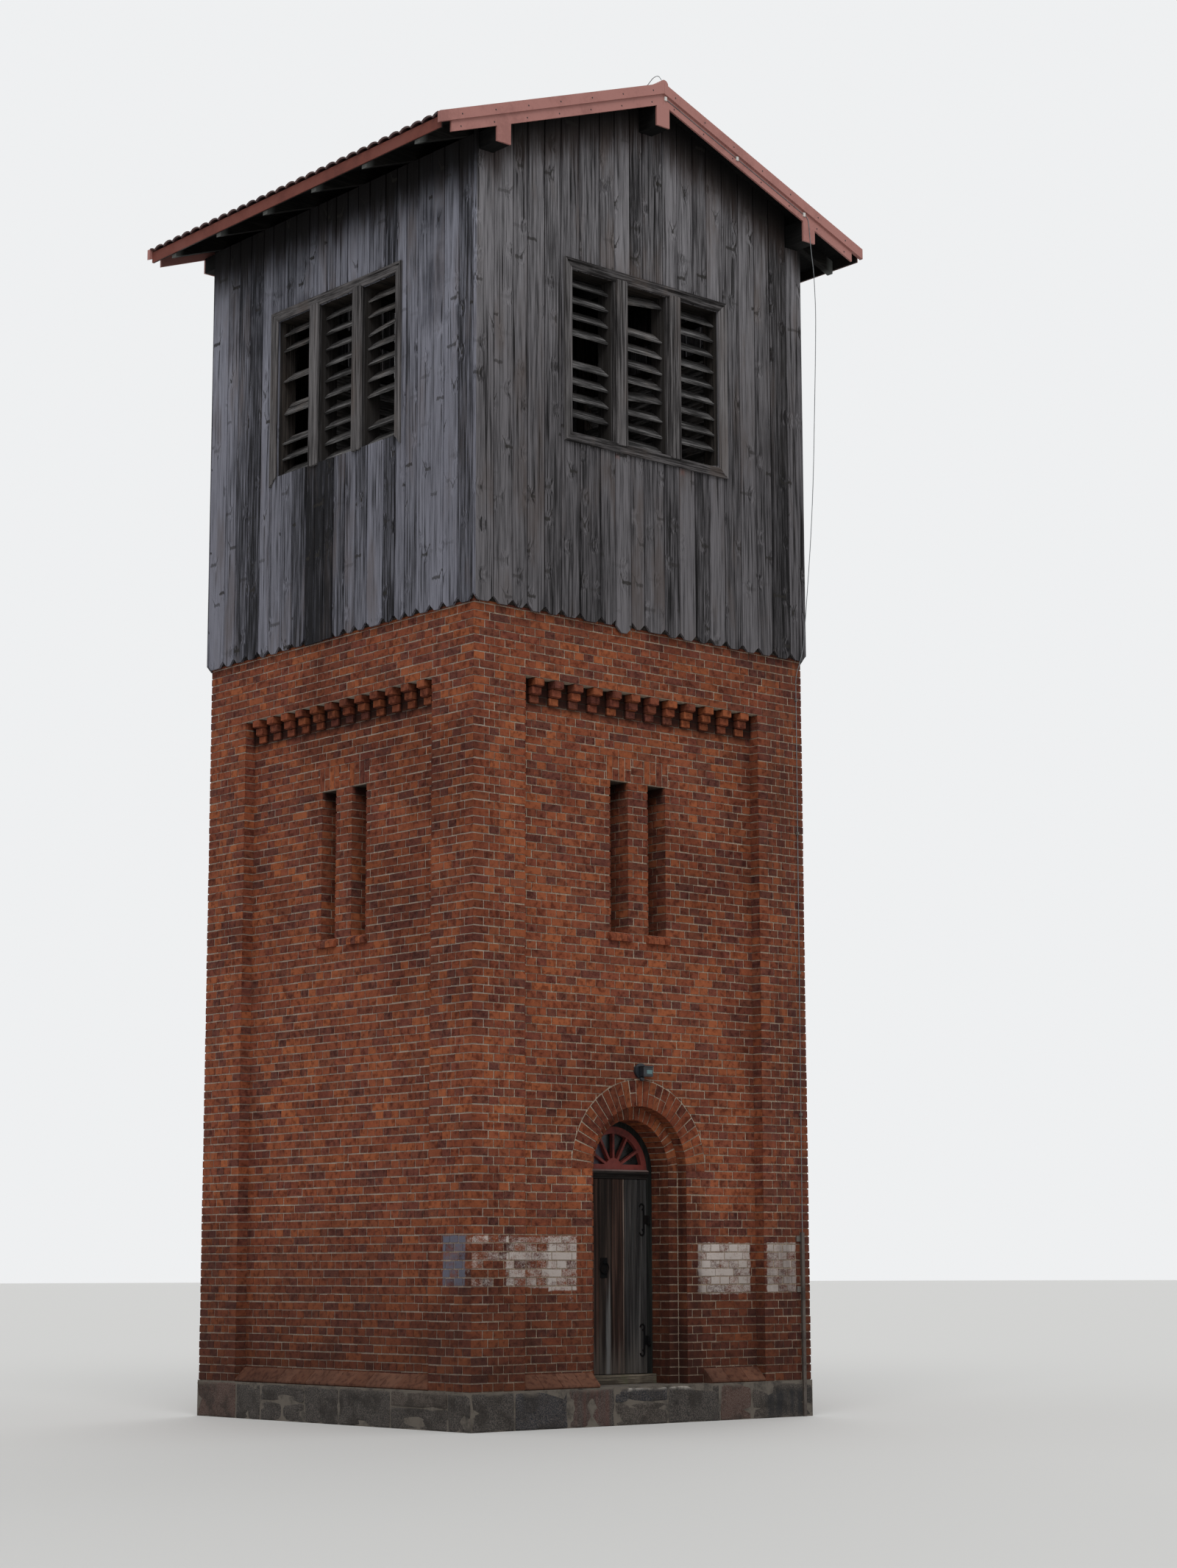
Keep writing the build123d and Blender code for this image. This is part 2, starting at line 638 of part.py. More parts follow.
def purlin_caps():
    """Boards that close the purlin ends under the barge boards."""
    drop = BARGE_UPPER_H + BARGE_LOWER_H
    y0, y1 = -LOWER_BARGE_FACE, -BARGE_BACK
    for side in (FRONT, BACK):
        for end in (-1, 1):
            x0, x1 = end * (HALF - PURLIN_W), end * HALF
            outline = [(x0, PURLIN_BOTTOM), (x1, PURLIN_BOTTOM)]
            outline += [(x1, roof_z(x1, drop)), (x0, roof_z(x0, drop))]
            yield turn(plate_xz(outline, y0, y1), side)
        half = PURLIN_W / 2
        outline = [(-half, RIDGE_PURLIN_BOTTOM), (half, RIDGE_PURLIN_BOTTOM), (half, roof_z(half, drop))]
        outline += [(0, roof_z(0, drop)), (-half, roof_z(half, drop))]
        yield turn(plate_xz(outline, y0, y1), side)


def eave_fascias():
    for end in (-1, 1):
        x1 = end * (EAVE_X - RAFTER_END + FASCIA_T)
        x0 = end * (EAVE_X - RAFTER_END)
        z1 = roof_z(x1, FASCIA_DROP)
        yield block(x0, x1, -BARGE_BACK, BARGE_BACK, z1 - FASCIA_H, z1)


# Lightning conductor

def rod(points, radius):
    """A wire through these points, its bends as wide as its runs allow."""
    spots = [Vector(*point) for point in points]
    radii = []
    for before, here, after in zip(spots, spots[1:], spots[2:]):
        half_turn = radians((here - before).get_angle(after - here)) / 2
        radii.append(0.45 * min((here - before).length, (after - here).length) / tan(half_turn))
    path = FilletPolyline(*spots, radius=radii)
    section = Plane(path @ 0, z_dir=path % 0) * RegularPolygon(radius, WIRE_SIDES)
    return sweep(section, path)


def ridge_wire():
    """Along the ridge cap, then over a hoop at the gable edge."""
    z = RIDGE_TOP + WIRE_R + WIRE_SEAT
    start, rise, fall, foot = [-GABLE_Y + reach for reach in HOOP_Y]
    points = [(0, GABLE_Y - HOOP_Y[0], z), (0, start, z)]
    points += [(0, rise, z + HOOP_H), (0, fall, z + HOOP_H), (0, foot, z)]
    return rod(points, WIRE_R)


def wire_x(z):
    """Where the wire lies across the front wall at this height."""
    return WIRE_WALL_X + WIRE_LEAN * z / SKIRT_Z


def wall_wire(radius):
    """Along the lower barge board, free past the eave and down the front wall to the ground."""
    rake_y = -(LOWER_BARGE_FACE + WIRE_R + WIRE_SEAT)
    points = [(CLIP_W, rake_y, roof_z(CLIP_W, WIRE_RAKE_DROP))]
    points += [(WIRE_RAKE_END, rake_y, roof_z(WIRE_RAKE_END, WIRE_RAKE_DROP))]
    for across, inward, drop in WIRE_HANGS:
        points.append((WIRE_RAKE_END + across, rake_y + inward, PURLIN_BOTTOM - drop))
    points += [(wire_x(SKIRT_Z) + 2 * CLIP_W, -CLAD_FACE - CLIP_W, SKIRT_Z + WIRE_HUGS)]
    points += [(wire_x(SKIRT_Z) + CLIP_W, -CLAD_FACE - 2 * WIRE_R, SKIRT_Z)]
    points += [(wire_x(SKIRT_Z), -WIRE_WALL_Y, SKIRT_Z - WIRE_HUGS), (WIRE_WALL_X, -WIRE_WALL_Y, 0)]
    return rod(points, radius)


def lightning_conductor():
    yield ridge_wire()
    yield wall_wire(WIRE_R)


def conductor_clips():
    """Clips on the rake and on the brickwork, and the clamps behind the guard."""
    bore = wall_wire(WIRE_R + CLIP_CLEAR)
    for x in (CLIP_W, WIRE_RAKE_END / 2, WIRE_RAKE_END - 2 * CLIP_W):
        z = roof_z(x, WIRE_RAKE_DROP)
        face = -LOWER_BARGE_FACE
        clip = block(x - CLIP_W / 2, x + CLIP_W / 2, face - CLIP_T, face, z - CLIP_H / 2, z + CLIP_H / 2)
        yield clip - bore
    for z in WALL_CLIP_HEIGHTS:
        x = wire_x(z)
        clip = block(x - CLIP_W / 2, x + CLIP_W / 2, -HALF - PLINTH_PROUD - CLIP_T, -HALF, z, z + CLIP_W)
        yield clip - bore
    for z in GUARD_CLAMPS:
        x1 = WIRE_WALL_X + GUARD_W / 2
        yield block(x1 - GUARD_CLAMP_W, x1, -HALF - PLINTH_PROUD, -HALF, z, z + GUARD_CLAMP_H)


def conductor_guard():
    """A channel over the foot of the wire, open towards the wall."""
    x0, x1 = WIRE_WALL_X - GUARD_W / 2, WIRE_WALL_X + GUARD_W / 2
    back = -HALF - PLINTH_PROUD
    channel = block(x0, x1, back - GUARD_DEPTH, back, 0, GUARD_H)
    return channel - block(x0 + GUARD_T, x1 - GUARD_T, back - GUARD_DEPTH + GUARD_T, back, 0, GUARD_H)


# Boarding and louvres

def board_edges(half, widths):
    """Where the boards of one side meet, from left to right."""
    share = 2 * half / sum(widths)
    edges = [-half]
    for width in widths:
        edges.append(edges[-1] + width * share)
    return edges


def skirt(half, widths, hanging=(), square=()):
    """Lower edge of the boarding, from right to left: board ends with clipped corners."""
    edges = board_edges(half, widths)
    points = []
    for n in reversed(range(len(widths))):
        left, right = edges[n], edges[n + 1]
        foot = SKIRT_Z - HANGING_DROP if n in hanging else SKIRT_Z
        clip = 0 if n in square else BOARD_CLIP
        for point in ((right, foot + clip), (right - clip, foot), (left + clip, foot), (left, foot + clip)):
            if point not in points[-1:]:
                points.append(point)
    return points


def window_hole(shape):
    return shape - block(-WINDOW_HALF_W, WINDOW_HALF_W, -CLAD_FACE, -CLAD_BACK, WINDOW_BOTTOM, WINDOW_TOP)


def gable_cladding(hanging=()):
    """Boarding of a gable side, cut out round the three purlins."""
    drop = RAFTER_TOP + CLAD_GAP
    corner = roof_z(CLAD_FACE, drop)
    outline = skirt(CLAD_FACE, GABLE_BOARDS, hanging)
    outline += [(-CLAD_FACE, corner), (0, roof_z(0, drop)), (CLAD_FACE, corner)]
    wall = window_hole(plate_xz(outline, -CLAD_FACE, -CLAD_BACK))
    for x in (-(HALF - PURLIN_W / 2), 0, HALF - PURLIN_W / 2):
        half = PURLIN_W / 2 + CLAD_GAP
        bottom = PURLIN_BOTTOM if x else RIDGE_PURLIN_BOTTOM
        wall -= block(x - half, x + half, -CLAD_FACE, -CLAD_BACK, bottom - CLAD_GAP, RIDGE_Z)
    return wall


def side_cladding(square=()):
    top = roof_z(CLAD_FACE, RAFTER_UNDER) - CLAD_GAP
    outline = skirt(CLAD_BACK, SIDE_BOARDS, square=square) + [(-CLAD_BACK, top), (CLAD_BACK, top)]
    return window_hole(plate_xz(outline, -CLAD_FACE, -CLAD_BACK))


def cladding_rails():
    """Rails that hold the boarding off the brickwork and the posts."""
    end = HALF - BUTT_GAP
    for side in (FRONT, RIGHT, BACK, LEFT):
        for z in RAIL_LEVELS:
            yield turn(block(-end, end, -CLAD_BACK, -HALF, z - RAIL_W / 2, z + RAIL_W / 2), side)


def bay_width():
    return (2 * WINDOW_HALF_W - (BAYS - 1) * MULLION_W) / BAYS


def mullions():
    """Uprights between the bays, and the jamb boards at both ends of each window."""
    step = bay_width() + MULLION_W
    for side in (FRONT, RIGHT, BACK, LEFT):
        for n in range(1, BAYS):
            x = -WINDOW_HALF_W + n * step - MULLION_W
            yield turn(block(x, x + MULLION_W, -CLAD_FACE, -HALF + POST, WINDOW_BOTTOM, WINDOW_TOP), side)
        for end in (-1, 1):
            x0, x1 = end * WINDOW_HALF_W, end * (WINDOW_HALF_W + JAMB_W)
            yield turn(block(x0, x1, -CLAD_BACK, -HALF, WINDOW_BOTTOM, WINDOW_TOP), side)


def slat(bay, n, tilt=SLAT_TILT, roll=0):
    """One slat, counted from the bottom, its ends cut to the bay."""
    pitch = WINDOW_H / SLATS
    x0 = -WINDOW_HALF_W + bay * (bay_width() + MULLION_W)
    x1 = x0 + bay_width()
    place = Pos((x0 + x1) / 2, -HALF + POST / 2, WINDOW_BOTTOM + (n + 0.5) * pitch)
    bar = place * Rot(0, roll, 0) * Rot(tilt, 0, 0) * Box(2 * bay_width(), SLAT_W, SLAT_T)
    return bar & block(x0, x1, -HALF, -HALF + POST, WINDOW_BOTTOM, WINDOW_TOP)


def louvres(side, missing=(), tipped=(), hanging=()):
    """The slats of one window, each named by its bay and its number in it."""
    for bay in range(BAYS):
        for n in range(SLATS):
            if (bay, n) in missing:
                continue
            tilt = TIPPED_TILT if (bay, n) in tipped else SLAT_TILT
            roll = -HANGING_ROLL if (bay, n) in hanging else 0
            yield turn(slat(bay, n, tilt, roll), side)


def casing_boards(inner, outer, y0, y1, sides):
    """Mitred boards on the sides named, between these distances from the window."""
    w0, w1 = WINDOW_HALF_W + inner, WINDOW_HALF_W + outer
    top0, top1 = WINDOW_TOP + inner, WINDOW_TOP + outer
    low0, low1 = WINDOW_BOTTOM - inner, WINDOW_BOTTOM - outer
    boards = {
        "top": [(-w0, top0), (-w1, top1), (w1, top1), (w0, top0)],
        "bottom": [(-w0, low0), (-w1, low1), (w1, low1), (w0, low0)],
        "near": [(-w0, low0), (-w1, low1), (-w1, top1), (-w0, top0)],
        "far": [(w0, low0), (w1, low1), (w1, top1), (w0, top0)],
    }
    whole = None
    for name in sides:
        board = plate_xz(boards[name], y0, y1)
        whole = board if whole is None else whole + board
    return whole


def casing(sides):
    """Casing boards round a window, with a raised outer edge."""
    face = -CLAD_FACE - CASING_T
    boards = casing_boards(0, CASING_W, face, -CLAD_FACE, sides)
    return boards + casing_boards(CASING_W - CASING_BAND_W, CASING_W, face - CASING_BAND_T, face, sides)


def window_casings():
    for side in (FRONT, RIGHT, BACK):
        yield turn(casing(("top", "bottom", "near", "far")), side)
    yield turn(casing(("top", "near", "far")), LEFT)


# Slats that have fallen out or worked loose
FRONT_MISSING = ((0, 0), (0, 5), (1, 8), (2, 0))
FRONT_HANGING = ((1, 3), (1, 9))
LEFT_MISSING = ((0, 3), (0, 5), (0, 7), (2, 2))
LEFT_TIPPED = ((0, 4),)
LEFT_HANGING = ((2, 7),)

save("plinth", plinth())
save("ground_floor", ground_floor())
save("corner_piers", corner_piers())
save("front_wall_beside_door", front_wall_beside_door())
save("front_wall_over_door", front_wall_over_door())
save("right_wall", turn(panel(PLINTH_H, WALL_TOP), RIGHT))
save("back_wall", turn(panel(PLINTH_H, WALL_TOP), BACK))
save("left_wall", turn(panel(PLINTH_H, WALL_TOP), LEFT))
save("door_arch", door_arch())
save("inner_order", inner_order())
save("corbel_friezes", corbel_friezes())
save("panel_sills", panel_sills())
save("slit_sills", slit_sills())

save("door_frame", door_frame())
save("threshold", threshold())
save("transom", transom())
save("fanlight", fanlight())
save("fanlight_glass", fanlight_glass())
save("door_leaf", door_leaf())
save("door_hinges", door_hinges())
save("door_pins", door_pins())
save("door_handle", door_handle())
save("wall_lamp", wall_lamp())

save("belfry_sill_beams", sill_beams())
save("floor_joists", floor_joists())
save("belfry_floor", belfry_floor())
save("belfry_posts", belfry_posts())
save("window_rails", window_rails())
save("gable_beams", gable_beams())
save("ridge_posts", ridge_posts())
save("purlins", purlins())
save("rafters", rafters())
save("roof_boards", roof_boards())
save("roof_sheets", roof_sheets())
save("ridge_cap", ridge_cap())
save("barge_boards", barge_boards())
save("lower_barge_boards", lower_barge_boards())
save("purlin_caps", purlin_caps())
save("eave_fascias", eave_fascias())

save("lightning_conductor", lightning_conductor())
save("conductor_clips", conductor_clips())
save("conductor_guard", conductor_guard())

save("cladding_rails", cladding_rails())
save("front_cladding", gable_cladding(hanging=(HANGING_BOARD,)))
save("back_cladding", turn(gable_cladding(), BACK))
save("left_cladding", turn(side_cladding(square=NEW_BOARDS), LEFT))
save("right_cladding", turn(side_cladding(), RIGHT))
save("mullions", mullions())
save("window_casings", window_casings())
save("front_louvres", louvres(FRONT, FRONT_MISSING, hanging=FRONT_HANGING))
save("back_louvres", louvres(BACK))
save("left_louvres", louvres(LEFT, LEFT_MISSING, LEFT_TIPPED, LEFT_HANGING))
save("right_louvres", louvres(RIGHT))
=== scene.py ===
import random
from math import atan2, cos, pi, radians, sin, tan

import bmesh
import bpy
from bpy.props import FloatProperty, FloatVectorProperty, PointerProperty
from mathutils import Matrix, Vector, noise


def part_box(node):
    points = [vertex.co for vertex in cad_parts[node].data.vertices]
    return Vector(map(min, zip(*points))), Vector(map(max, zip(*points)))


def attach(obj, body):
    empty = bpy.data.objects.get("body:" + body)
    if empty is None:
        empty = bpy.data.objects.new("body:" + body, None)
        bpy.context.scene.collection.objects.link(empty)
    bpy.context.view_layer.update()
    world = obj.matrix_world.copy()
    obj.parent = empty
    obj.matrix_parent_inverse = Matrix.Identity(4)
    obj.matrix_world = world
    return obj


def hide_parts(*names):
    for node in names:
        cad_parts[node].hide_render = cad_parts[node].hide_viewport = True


bl_info = {
    "name": "Bell tower finish",
    "version": (1, 0, 0),
    "blender": (4, 5, 0),
    "location": "View3D > Sidebar > Bell tower",
    "description": "Brickwork, boarding, roofing and joinery of a boarded belfry on a brick shaft",
    "category": "Object",
}

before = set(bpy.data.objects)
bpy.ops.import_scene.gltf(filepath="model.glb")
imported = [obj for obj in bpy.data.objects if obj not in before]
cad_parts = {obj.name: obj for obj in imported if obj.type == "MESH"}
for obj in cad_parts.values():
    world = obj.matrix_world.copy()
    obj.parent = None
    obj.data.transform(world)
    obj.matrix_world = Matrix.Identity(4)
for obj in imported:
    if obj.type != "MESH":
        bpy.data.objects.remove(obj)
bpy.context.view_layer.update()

# Levels and faces of the tower, in metres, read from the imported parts
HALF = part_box("corner_piers")[1].x
PLINTH_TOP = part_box("plinth")[1].z
WALL_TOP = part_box("corner_piers")[1].z
PANEL_FACE = -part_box("front_wall_beside_door")[0].y
PANEL_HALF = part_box("front_wall_beside_door")[1].x
FRIEZE_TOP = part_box("corbel_friezes")[1].z
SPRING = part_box("door_arch")[0].z
RING_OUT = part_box("door_arch")[1].x
ARCH_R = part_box("inner_order")[1].x
INNER_FACE = -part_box("inner_order")[0].y
INNER_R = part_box("door_frame")[1].x
FRAME_FACE = -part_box("door_frame")[0].y
SLIT_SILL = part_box("slit_sills")[1].z
CLAD_FACE = -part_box("front_cladding")[0].y
CLAD_BACK = -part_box("front_cladding")[1].y
EAVE_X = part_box("roof_sheets")[1].x
GABLE_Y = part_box("barge_boards")[1].y
RIDGE_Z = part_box("roof_sheets")[1].z
EAVE_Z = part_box("roof_sheets")[0].z
WINDOW_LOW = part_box("mullions")[0].z
WINDOW_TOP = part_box("mullions")[1].z

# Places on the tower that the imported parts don't give by a corner
SLIT_TOP = 6.438
SLIT_INNER = 0.130
SLIT_OUTER = 0.390
PANEL_SILL_TOP = 0.520
WALL_BACK = 1.625
SILL_STOP = 0.860
SHEET_T = 0.035
ROOF_SLOPE = atan2(RIDGE_Z - EAVE_Z - SHEET_T, EAVE_X)

# Brickwork: uprights over a slit, how unevenly bricks lie, the least that is laid, bricks in each ring
LINTEL_LAP = 0.040
LINTEL_H = 0.250
BRICK_SLACK = 0.0026
BRICK_TILT = 0.008
NARROWEST_BAT = 0.02
SMALLEST_CHIP = 0.0012
OUTER_RING = 29
INNER_RING = 25
CORBEL_REACHES = (HALF - PANEL_FACE, 0.085, 0.040)

# Boards from left to right, by their shares of a side, and the first and last of the newer ones on the left
GABLE_BOARDS = (257, 246, 191, 231, 224, 246, 279, 212, 213, 185,
                290, 209, 233, 203, 227, 250, 231, 234, 258, 241)
SIDE_BOARDS = (300, 198, 224, 235, 178, 217, 215, 239, 158, 162, 162,
               205, 190, 201, 273, 196, 170, 193, 226, 200, 233, 234)
NEW_BOARDS = (8, 10)
NEW_BOARDS_TOP = WINDOW_LOW + 0.25
NEW_TONE = -0.5

# Windows: bays and posts, and the outline of a casing board across its width and out from the boarding
BAY = 0.570
POST = 0.190
WINDOW_HALF = (3 * BAY + 2 * POST) / 2
CASING = ((0, 0), (0, 0.012), (0.012, 0.018), (0.070, 0.018), (0.078, 0.028), (0.105, 0.028), (0.105, 0))

# The door's planks: their edges and their shades. The one that stands back has the palest shade.
PLANKS = (-0.450, -0.203, -0.028, 0.126, 0.147, 0.326, 0.450)
PLANK_TONES = (0.05, 0.12, 0.02, 0.99, 0.55, 0.66)
LEDGE_TONE = 0.4
LEDGE_HEIGHTS = (0.420, 1.640)

# The head of the lamp
LAMP_LEFT = -0.030
LAMP_HEAD_H = 0.103
LAMP_FOOT = PLINTH_TOP + 3.112 - LAMP_HEAD_H / 2

TOWER = "tower"
DOOR = "door"
FRONT, RIGHT, BACK, LEFT = 0, 90, 180, 270
SIDES = {FRONT: "front", RIGHT: "right", BACK: "back", LEFT: "left"}


# Sizes and colours that a user would change

class TowerBrickwork(bpy.types.PropertyGroup):
    header: FloatProperty(
        name="Header", description="Width of a header with its joint", default=0.130, unit="LENGTH")
    course: FloatProperty(
        name="Course", description="Height of a course with its bed joint", default=0.082, unit="LENGTH")
    joint: FloatProperty(
        name="Joint", description="Width of the mortar joints", default=0.012, unit="LENGTH")
    proud: FloatProperty(
        name="Proud", description="How far the bricks stand out of the mortar", default=0.007, unit="LENGTH")
    arris: FloatProperty(
        name="Arris", description="Width of the worn edge of a brick", default=0.003, unit="LENGTH")
    mortar: FloatVectorProperty(
        name="Mortar", description="Colour of the lime mortar", default=(0.40, 0.32, 0.245),
        subtype="COLOR", min=0, max=1)

    @property
    def wrap(self):
        """How far bricks reach past an edge, so that they close round it."""
        return self.proud + self.joint / 2


class TowerStage(bpy.types.PropertyGroup):
    floor: FloatVectorProperty(
        name="Floor", description="Colour of the studio floor", default=(0.56, 0.56, 0.55),
        subtype="COLOR", min=0, max=1)
    backdrop: FloatVectorProperty(
        name="Backdrop", description="Colour behind the tower", default=(0.86, 0.87, 0.88),
        subtype="COLOR", min=0, max=1)
    daylight: FloatProperty(
        name="Daylight", description="Strength of the light from all round", default=0.60, min=0, max=2)
    key: FloatProperty(
        name="Key lamp", description="Strength of the soft lamp before the tower", default=1.55, min=0, max=5)
    fill: FloatProperty(
        name="Fill lamp", description="Strength of the soft lamp behind the tower", default=0.50,
        min=0, max=5)


# Meshes

def turned(side):
    """Carries what is made for the front to another side."""
    return Matrix.Rotation(radians(side), 4, "Z")


def merge_into(bm, part):
    """Adds the mesh of one bmesh to another."""
    mesh = bpy.data.meshes.new("passing")
    part.to_mesh(mesh)
    part.free()
    bm.from_mesh(mesh)
    bpy.data.meshes.remove(mesh)


def on_sides(make, sides=SIDES):
    """Makes a part for each of these sides and turns it to its place, all in one mesh."""
    bm = bmesh.new()
    for side in sides:
        part = make(side)
        bmesh.ops.transform(part, matrix=turned(side), verts=part.verts)
        merge_into(bm, part)
    return bm


def add_object(name, bm):
    """A mesh as an object at the origin."""
    mesh = bpy.data.meshes.new(name)
    bm.to_mesh(mesh)
    bm.free()
    piece = bpy.data.objects.new(name, mesh)
    bpy.context.scene.collection.objects.link(piece)
    return piece


def add_piece(name, bm, finishes, body=TOWER, replaces=()):
    """A finished mesh on its body, with the finishes named."""
    piece = add_object(name, bm)
    for finish in finishes:
        piece.data.materials.append(FINISHES[finish])
    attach(piece, body)
    if replaces:
        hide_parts(*replaces)


def wear_edges(bm, edges, width, segments=1):
    """Bevels these edges, unless the width is nought."""
    if width:
        bmesh.ops.bevel(bm, geom=list(edges), offset=width, affect="EDGES", segments=segments, profile=0.5,
                        material=-1)


def box_mesh(bm, low, high, bevel=0.0):
    """A block with worn edges."""
    low, high = Vector(low), Vector(high)
    place = Matrix.Translation((high + low) / 2) @ Matrix.Diagonal((*(high - low), 1))
    verts = bmesh.ops.create_cube(bm, size=1, matrix=place)["verts"]
    wear_edges(bm, {edge for vert in verts for edge in vert.link_edges}, bevel)


def ball_mesh(bm, middle, radius, sectors=10, rings=6, flat=1.0):
    """A ball, flattened from front to back where flat is under one."""
    place = Matrix.Translation(middle) @ Matrix.Diagonal((1, flat, 1, 1))
    bmesh.ops.create_uvsphere(bm, u_segments=sectors, v_segments=rings, radius=radius, matrix=place)


def drawn_out(bm, outline, way):
    """Draws an outline out along a vector; gives its near face and its far vertices."""
    face = bm.faces.new([bm.verts.new(point) for point in outline])
    out = bmesh.ops.extrude_face_region(bm, geom=[face])["geom"]
    far = [part for part in out if isinstance(part, bmesh.types.BMVert)]
    bmesh.ops.translate(bm, vec=way, verts=far)
    return face, far


def sill_brick(bm, section, x0, x1, worn):
    """A moulded brick of this section, given as (y, z), from x0 to x1."""
    face, far = drawn_out(bm, [(x0, y, z) for y, z in section], (x1 - x0, 0, 0))
    ends = list(face.verts) + far
    bmesh.ops.recalc_face_normals(bm, faces=list({part for vert in ends for part in vert.link_faces}))
    wear_edges(bm, {edge for vert in ends for edge in vert.link_edges}, worn)


def set_tone(bm, rng):
    """Gives each loose brick, board or stone a shade of its own."""
    tone = bm.verts.layers.float.get("tone") or bm.verts.layers.float.new("tone")
    seen = set()
    for start in bm.verts:
        if start in seen:
            continue
        value = rng.random()
        heap = [start]
        seen.add(start)
        while heap:
            vert = heap.pop()
            vert[tone] = value
            for edge in vert.link_edges:
                other = edge.other_vert(vert)
                if other not in seen:
                    seen.add(other)
                    heap.append(other)


# Bricks are laid flat, along u and v, and then carried to their wall

def on_face(depth, way=1):
    """Carries flat bricks to an outer face; a way of -1 mirrors them."""
    return lambda co: Vector((way * co.x, -depth - co.z, co.y))


def on_jamb(at, way):
    """Carries flat bricks to the side of a pier or an opening; way is where they face."""
    return lambda co: Vector((at + way * co.z, -co.x, co.y))


def brick_row(bm, foot, head, joints, gone=()):
    """One course of bricks between these joints, less the openings named in gone."""
    grid = bmesh.ops.create_grid(bm, x_segments=len(joints) - 1, y_segments=1, size=0.5)
    corners = sorted(grid["verts"], key=lambda vert: vert.co.x)
    for n, vert in enumerate(corners):
        vert.co.x = joints[n // 2]
        vert.co.y = head if vert.co.y > 0 else foot
    faces = {face for vert in corners for face in vert.link_faces}
    lost = [face for face in faces if any(a < face.calc_center_median().x < b for a, b in gone)]
    if lost:
        bmesh.ops.delete(bm, geom=lost, context="FACES")


def joints_between(start, stop, marks, cuts=()):
    """The joints of a course from start to stop, with the edges of openings among them."""
    edges = sorted({start, stop, *[cut for pair in cuts for cut in pair if start < cut < stop]})
    inside = [mark for mark in marks if all(abs(mark - edge) > NARROWEST_BAT for edge in edges)]
    return sorted(edges + [mark for mark in inside if start < mark < stop])


def finish_bricks(bm, part, rng, place, brick):
    """Opens the joints, gives the bricks their thickness and worn arrises, and adds them in place."""
    rings = bmesh.ops.inset_individual(part, faces=list(part.faces), thickness=brick.joint / 2, depth=0,
                                       use_even_offset=True)["faces"]
    bmesh.ops.delete(part, geom=rings, context="FACES")

    def slip():
        return rng.uniform(-BRICK_SLACK, BRICK_SLACK)

    for face in part.faces:
        shift = Vector((slip(), slip(), 0))
        tilt = rng.uniform(-BRICK_TILT, BRICK_TILT)
        out = slip() / 2
        centre = face.calc_center_median()
        for vert in face.verts:
            reach = vert.co - centre
            vert.co += shift + Vector((slip() / 2 - tilt * reach.y, tilt * reach.x, out))
    bmesh.ops.solidify(part, geom=list(part.faces), thickness=-brick.proud)
    part.normal_update()
    tops = [face for face in part.faces if face.normal.z > 0.9]
    if not tops:
        raise RuntimeError("the bricks have no faces to wear")
    bmesh.ops.inset_individual(part, faces=tops, thickness=brick.arris, depth=brick.arris * 0.6)
    set_tone(part, rng)
    for vert in part.verts:
        vert.co = place(vert.co)
    bmesh.ops.recalc_face_normals(part, faces=part.faces)
    merge_into(bm, part)


def pier_marks(row, header, start):
    """Joints of a pier five headers wide: a header course, or bats round two headers."""
    return [start + header * n for n in ((1.5, 2.5, 3.5) if row % 2 else (1, 2, 3, 4))]


def panel_marks(row, header, start, stop):
    """Joints of the cross bond: headers, then stretchers that shift from one time to the next."""
    count = round((stop - start) / header)
    if row % 2 == 0:
        return [start + header * n for n in range(1, count)]
    shift = 0.5 if row % 4 == 1 else 1.5
    return [start + header * (shift + 2 * n) for n in range(-1, count // 2 + 1)]


def face_courses(brick, low, high):
    """The courses between two levels: number, foot and head."""
    first = round((low - PLINTH_TOP) / brick.course)
    last = round((high - PLINTH_TOP) / brick.course)
    for row in range(first, last):
        yield row, PLINTH_TOP + row * brick.course, PLINTH_TOP + (row + 1) * brick.course


def openings_at(side, z, wrap):
    """Spans of a panel with no wall bricks at this level; bricks wrap round the edge of an opening."""
    gone = []
    slack = 0.02
    if SLIT_SILL - slack < z < SLIT_TOP:
        inner, outer = SLIT_INNER + wrap, SLIT_OUTER - wrap
        gone += [(-outer, -inner), (inner, outer)]
    elif SLIT_TOP < z < SLIT_TOP + LINTEL_H - slack:
        inner, outer = SLIT_INNER - LINTEL_LAP, SLIT_OUTER + LINTEL_LAP
        gone += [(-outer, -inner), (inner, outer)]
    if side == FRONT and z < SPRING:
        gone.append((wrap - ARCH_R, ARCH_R - wrap))
    return gone


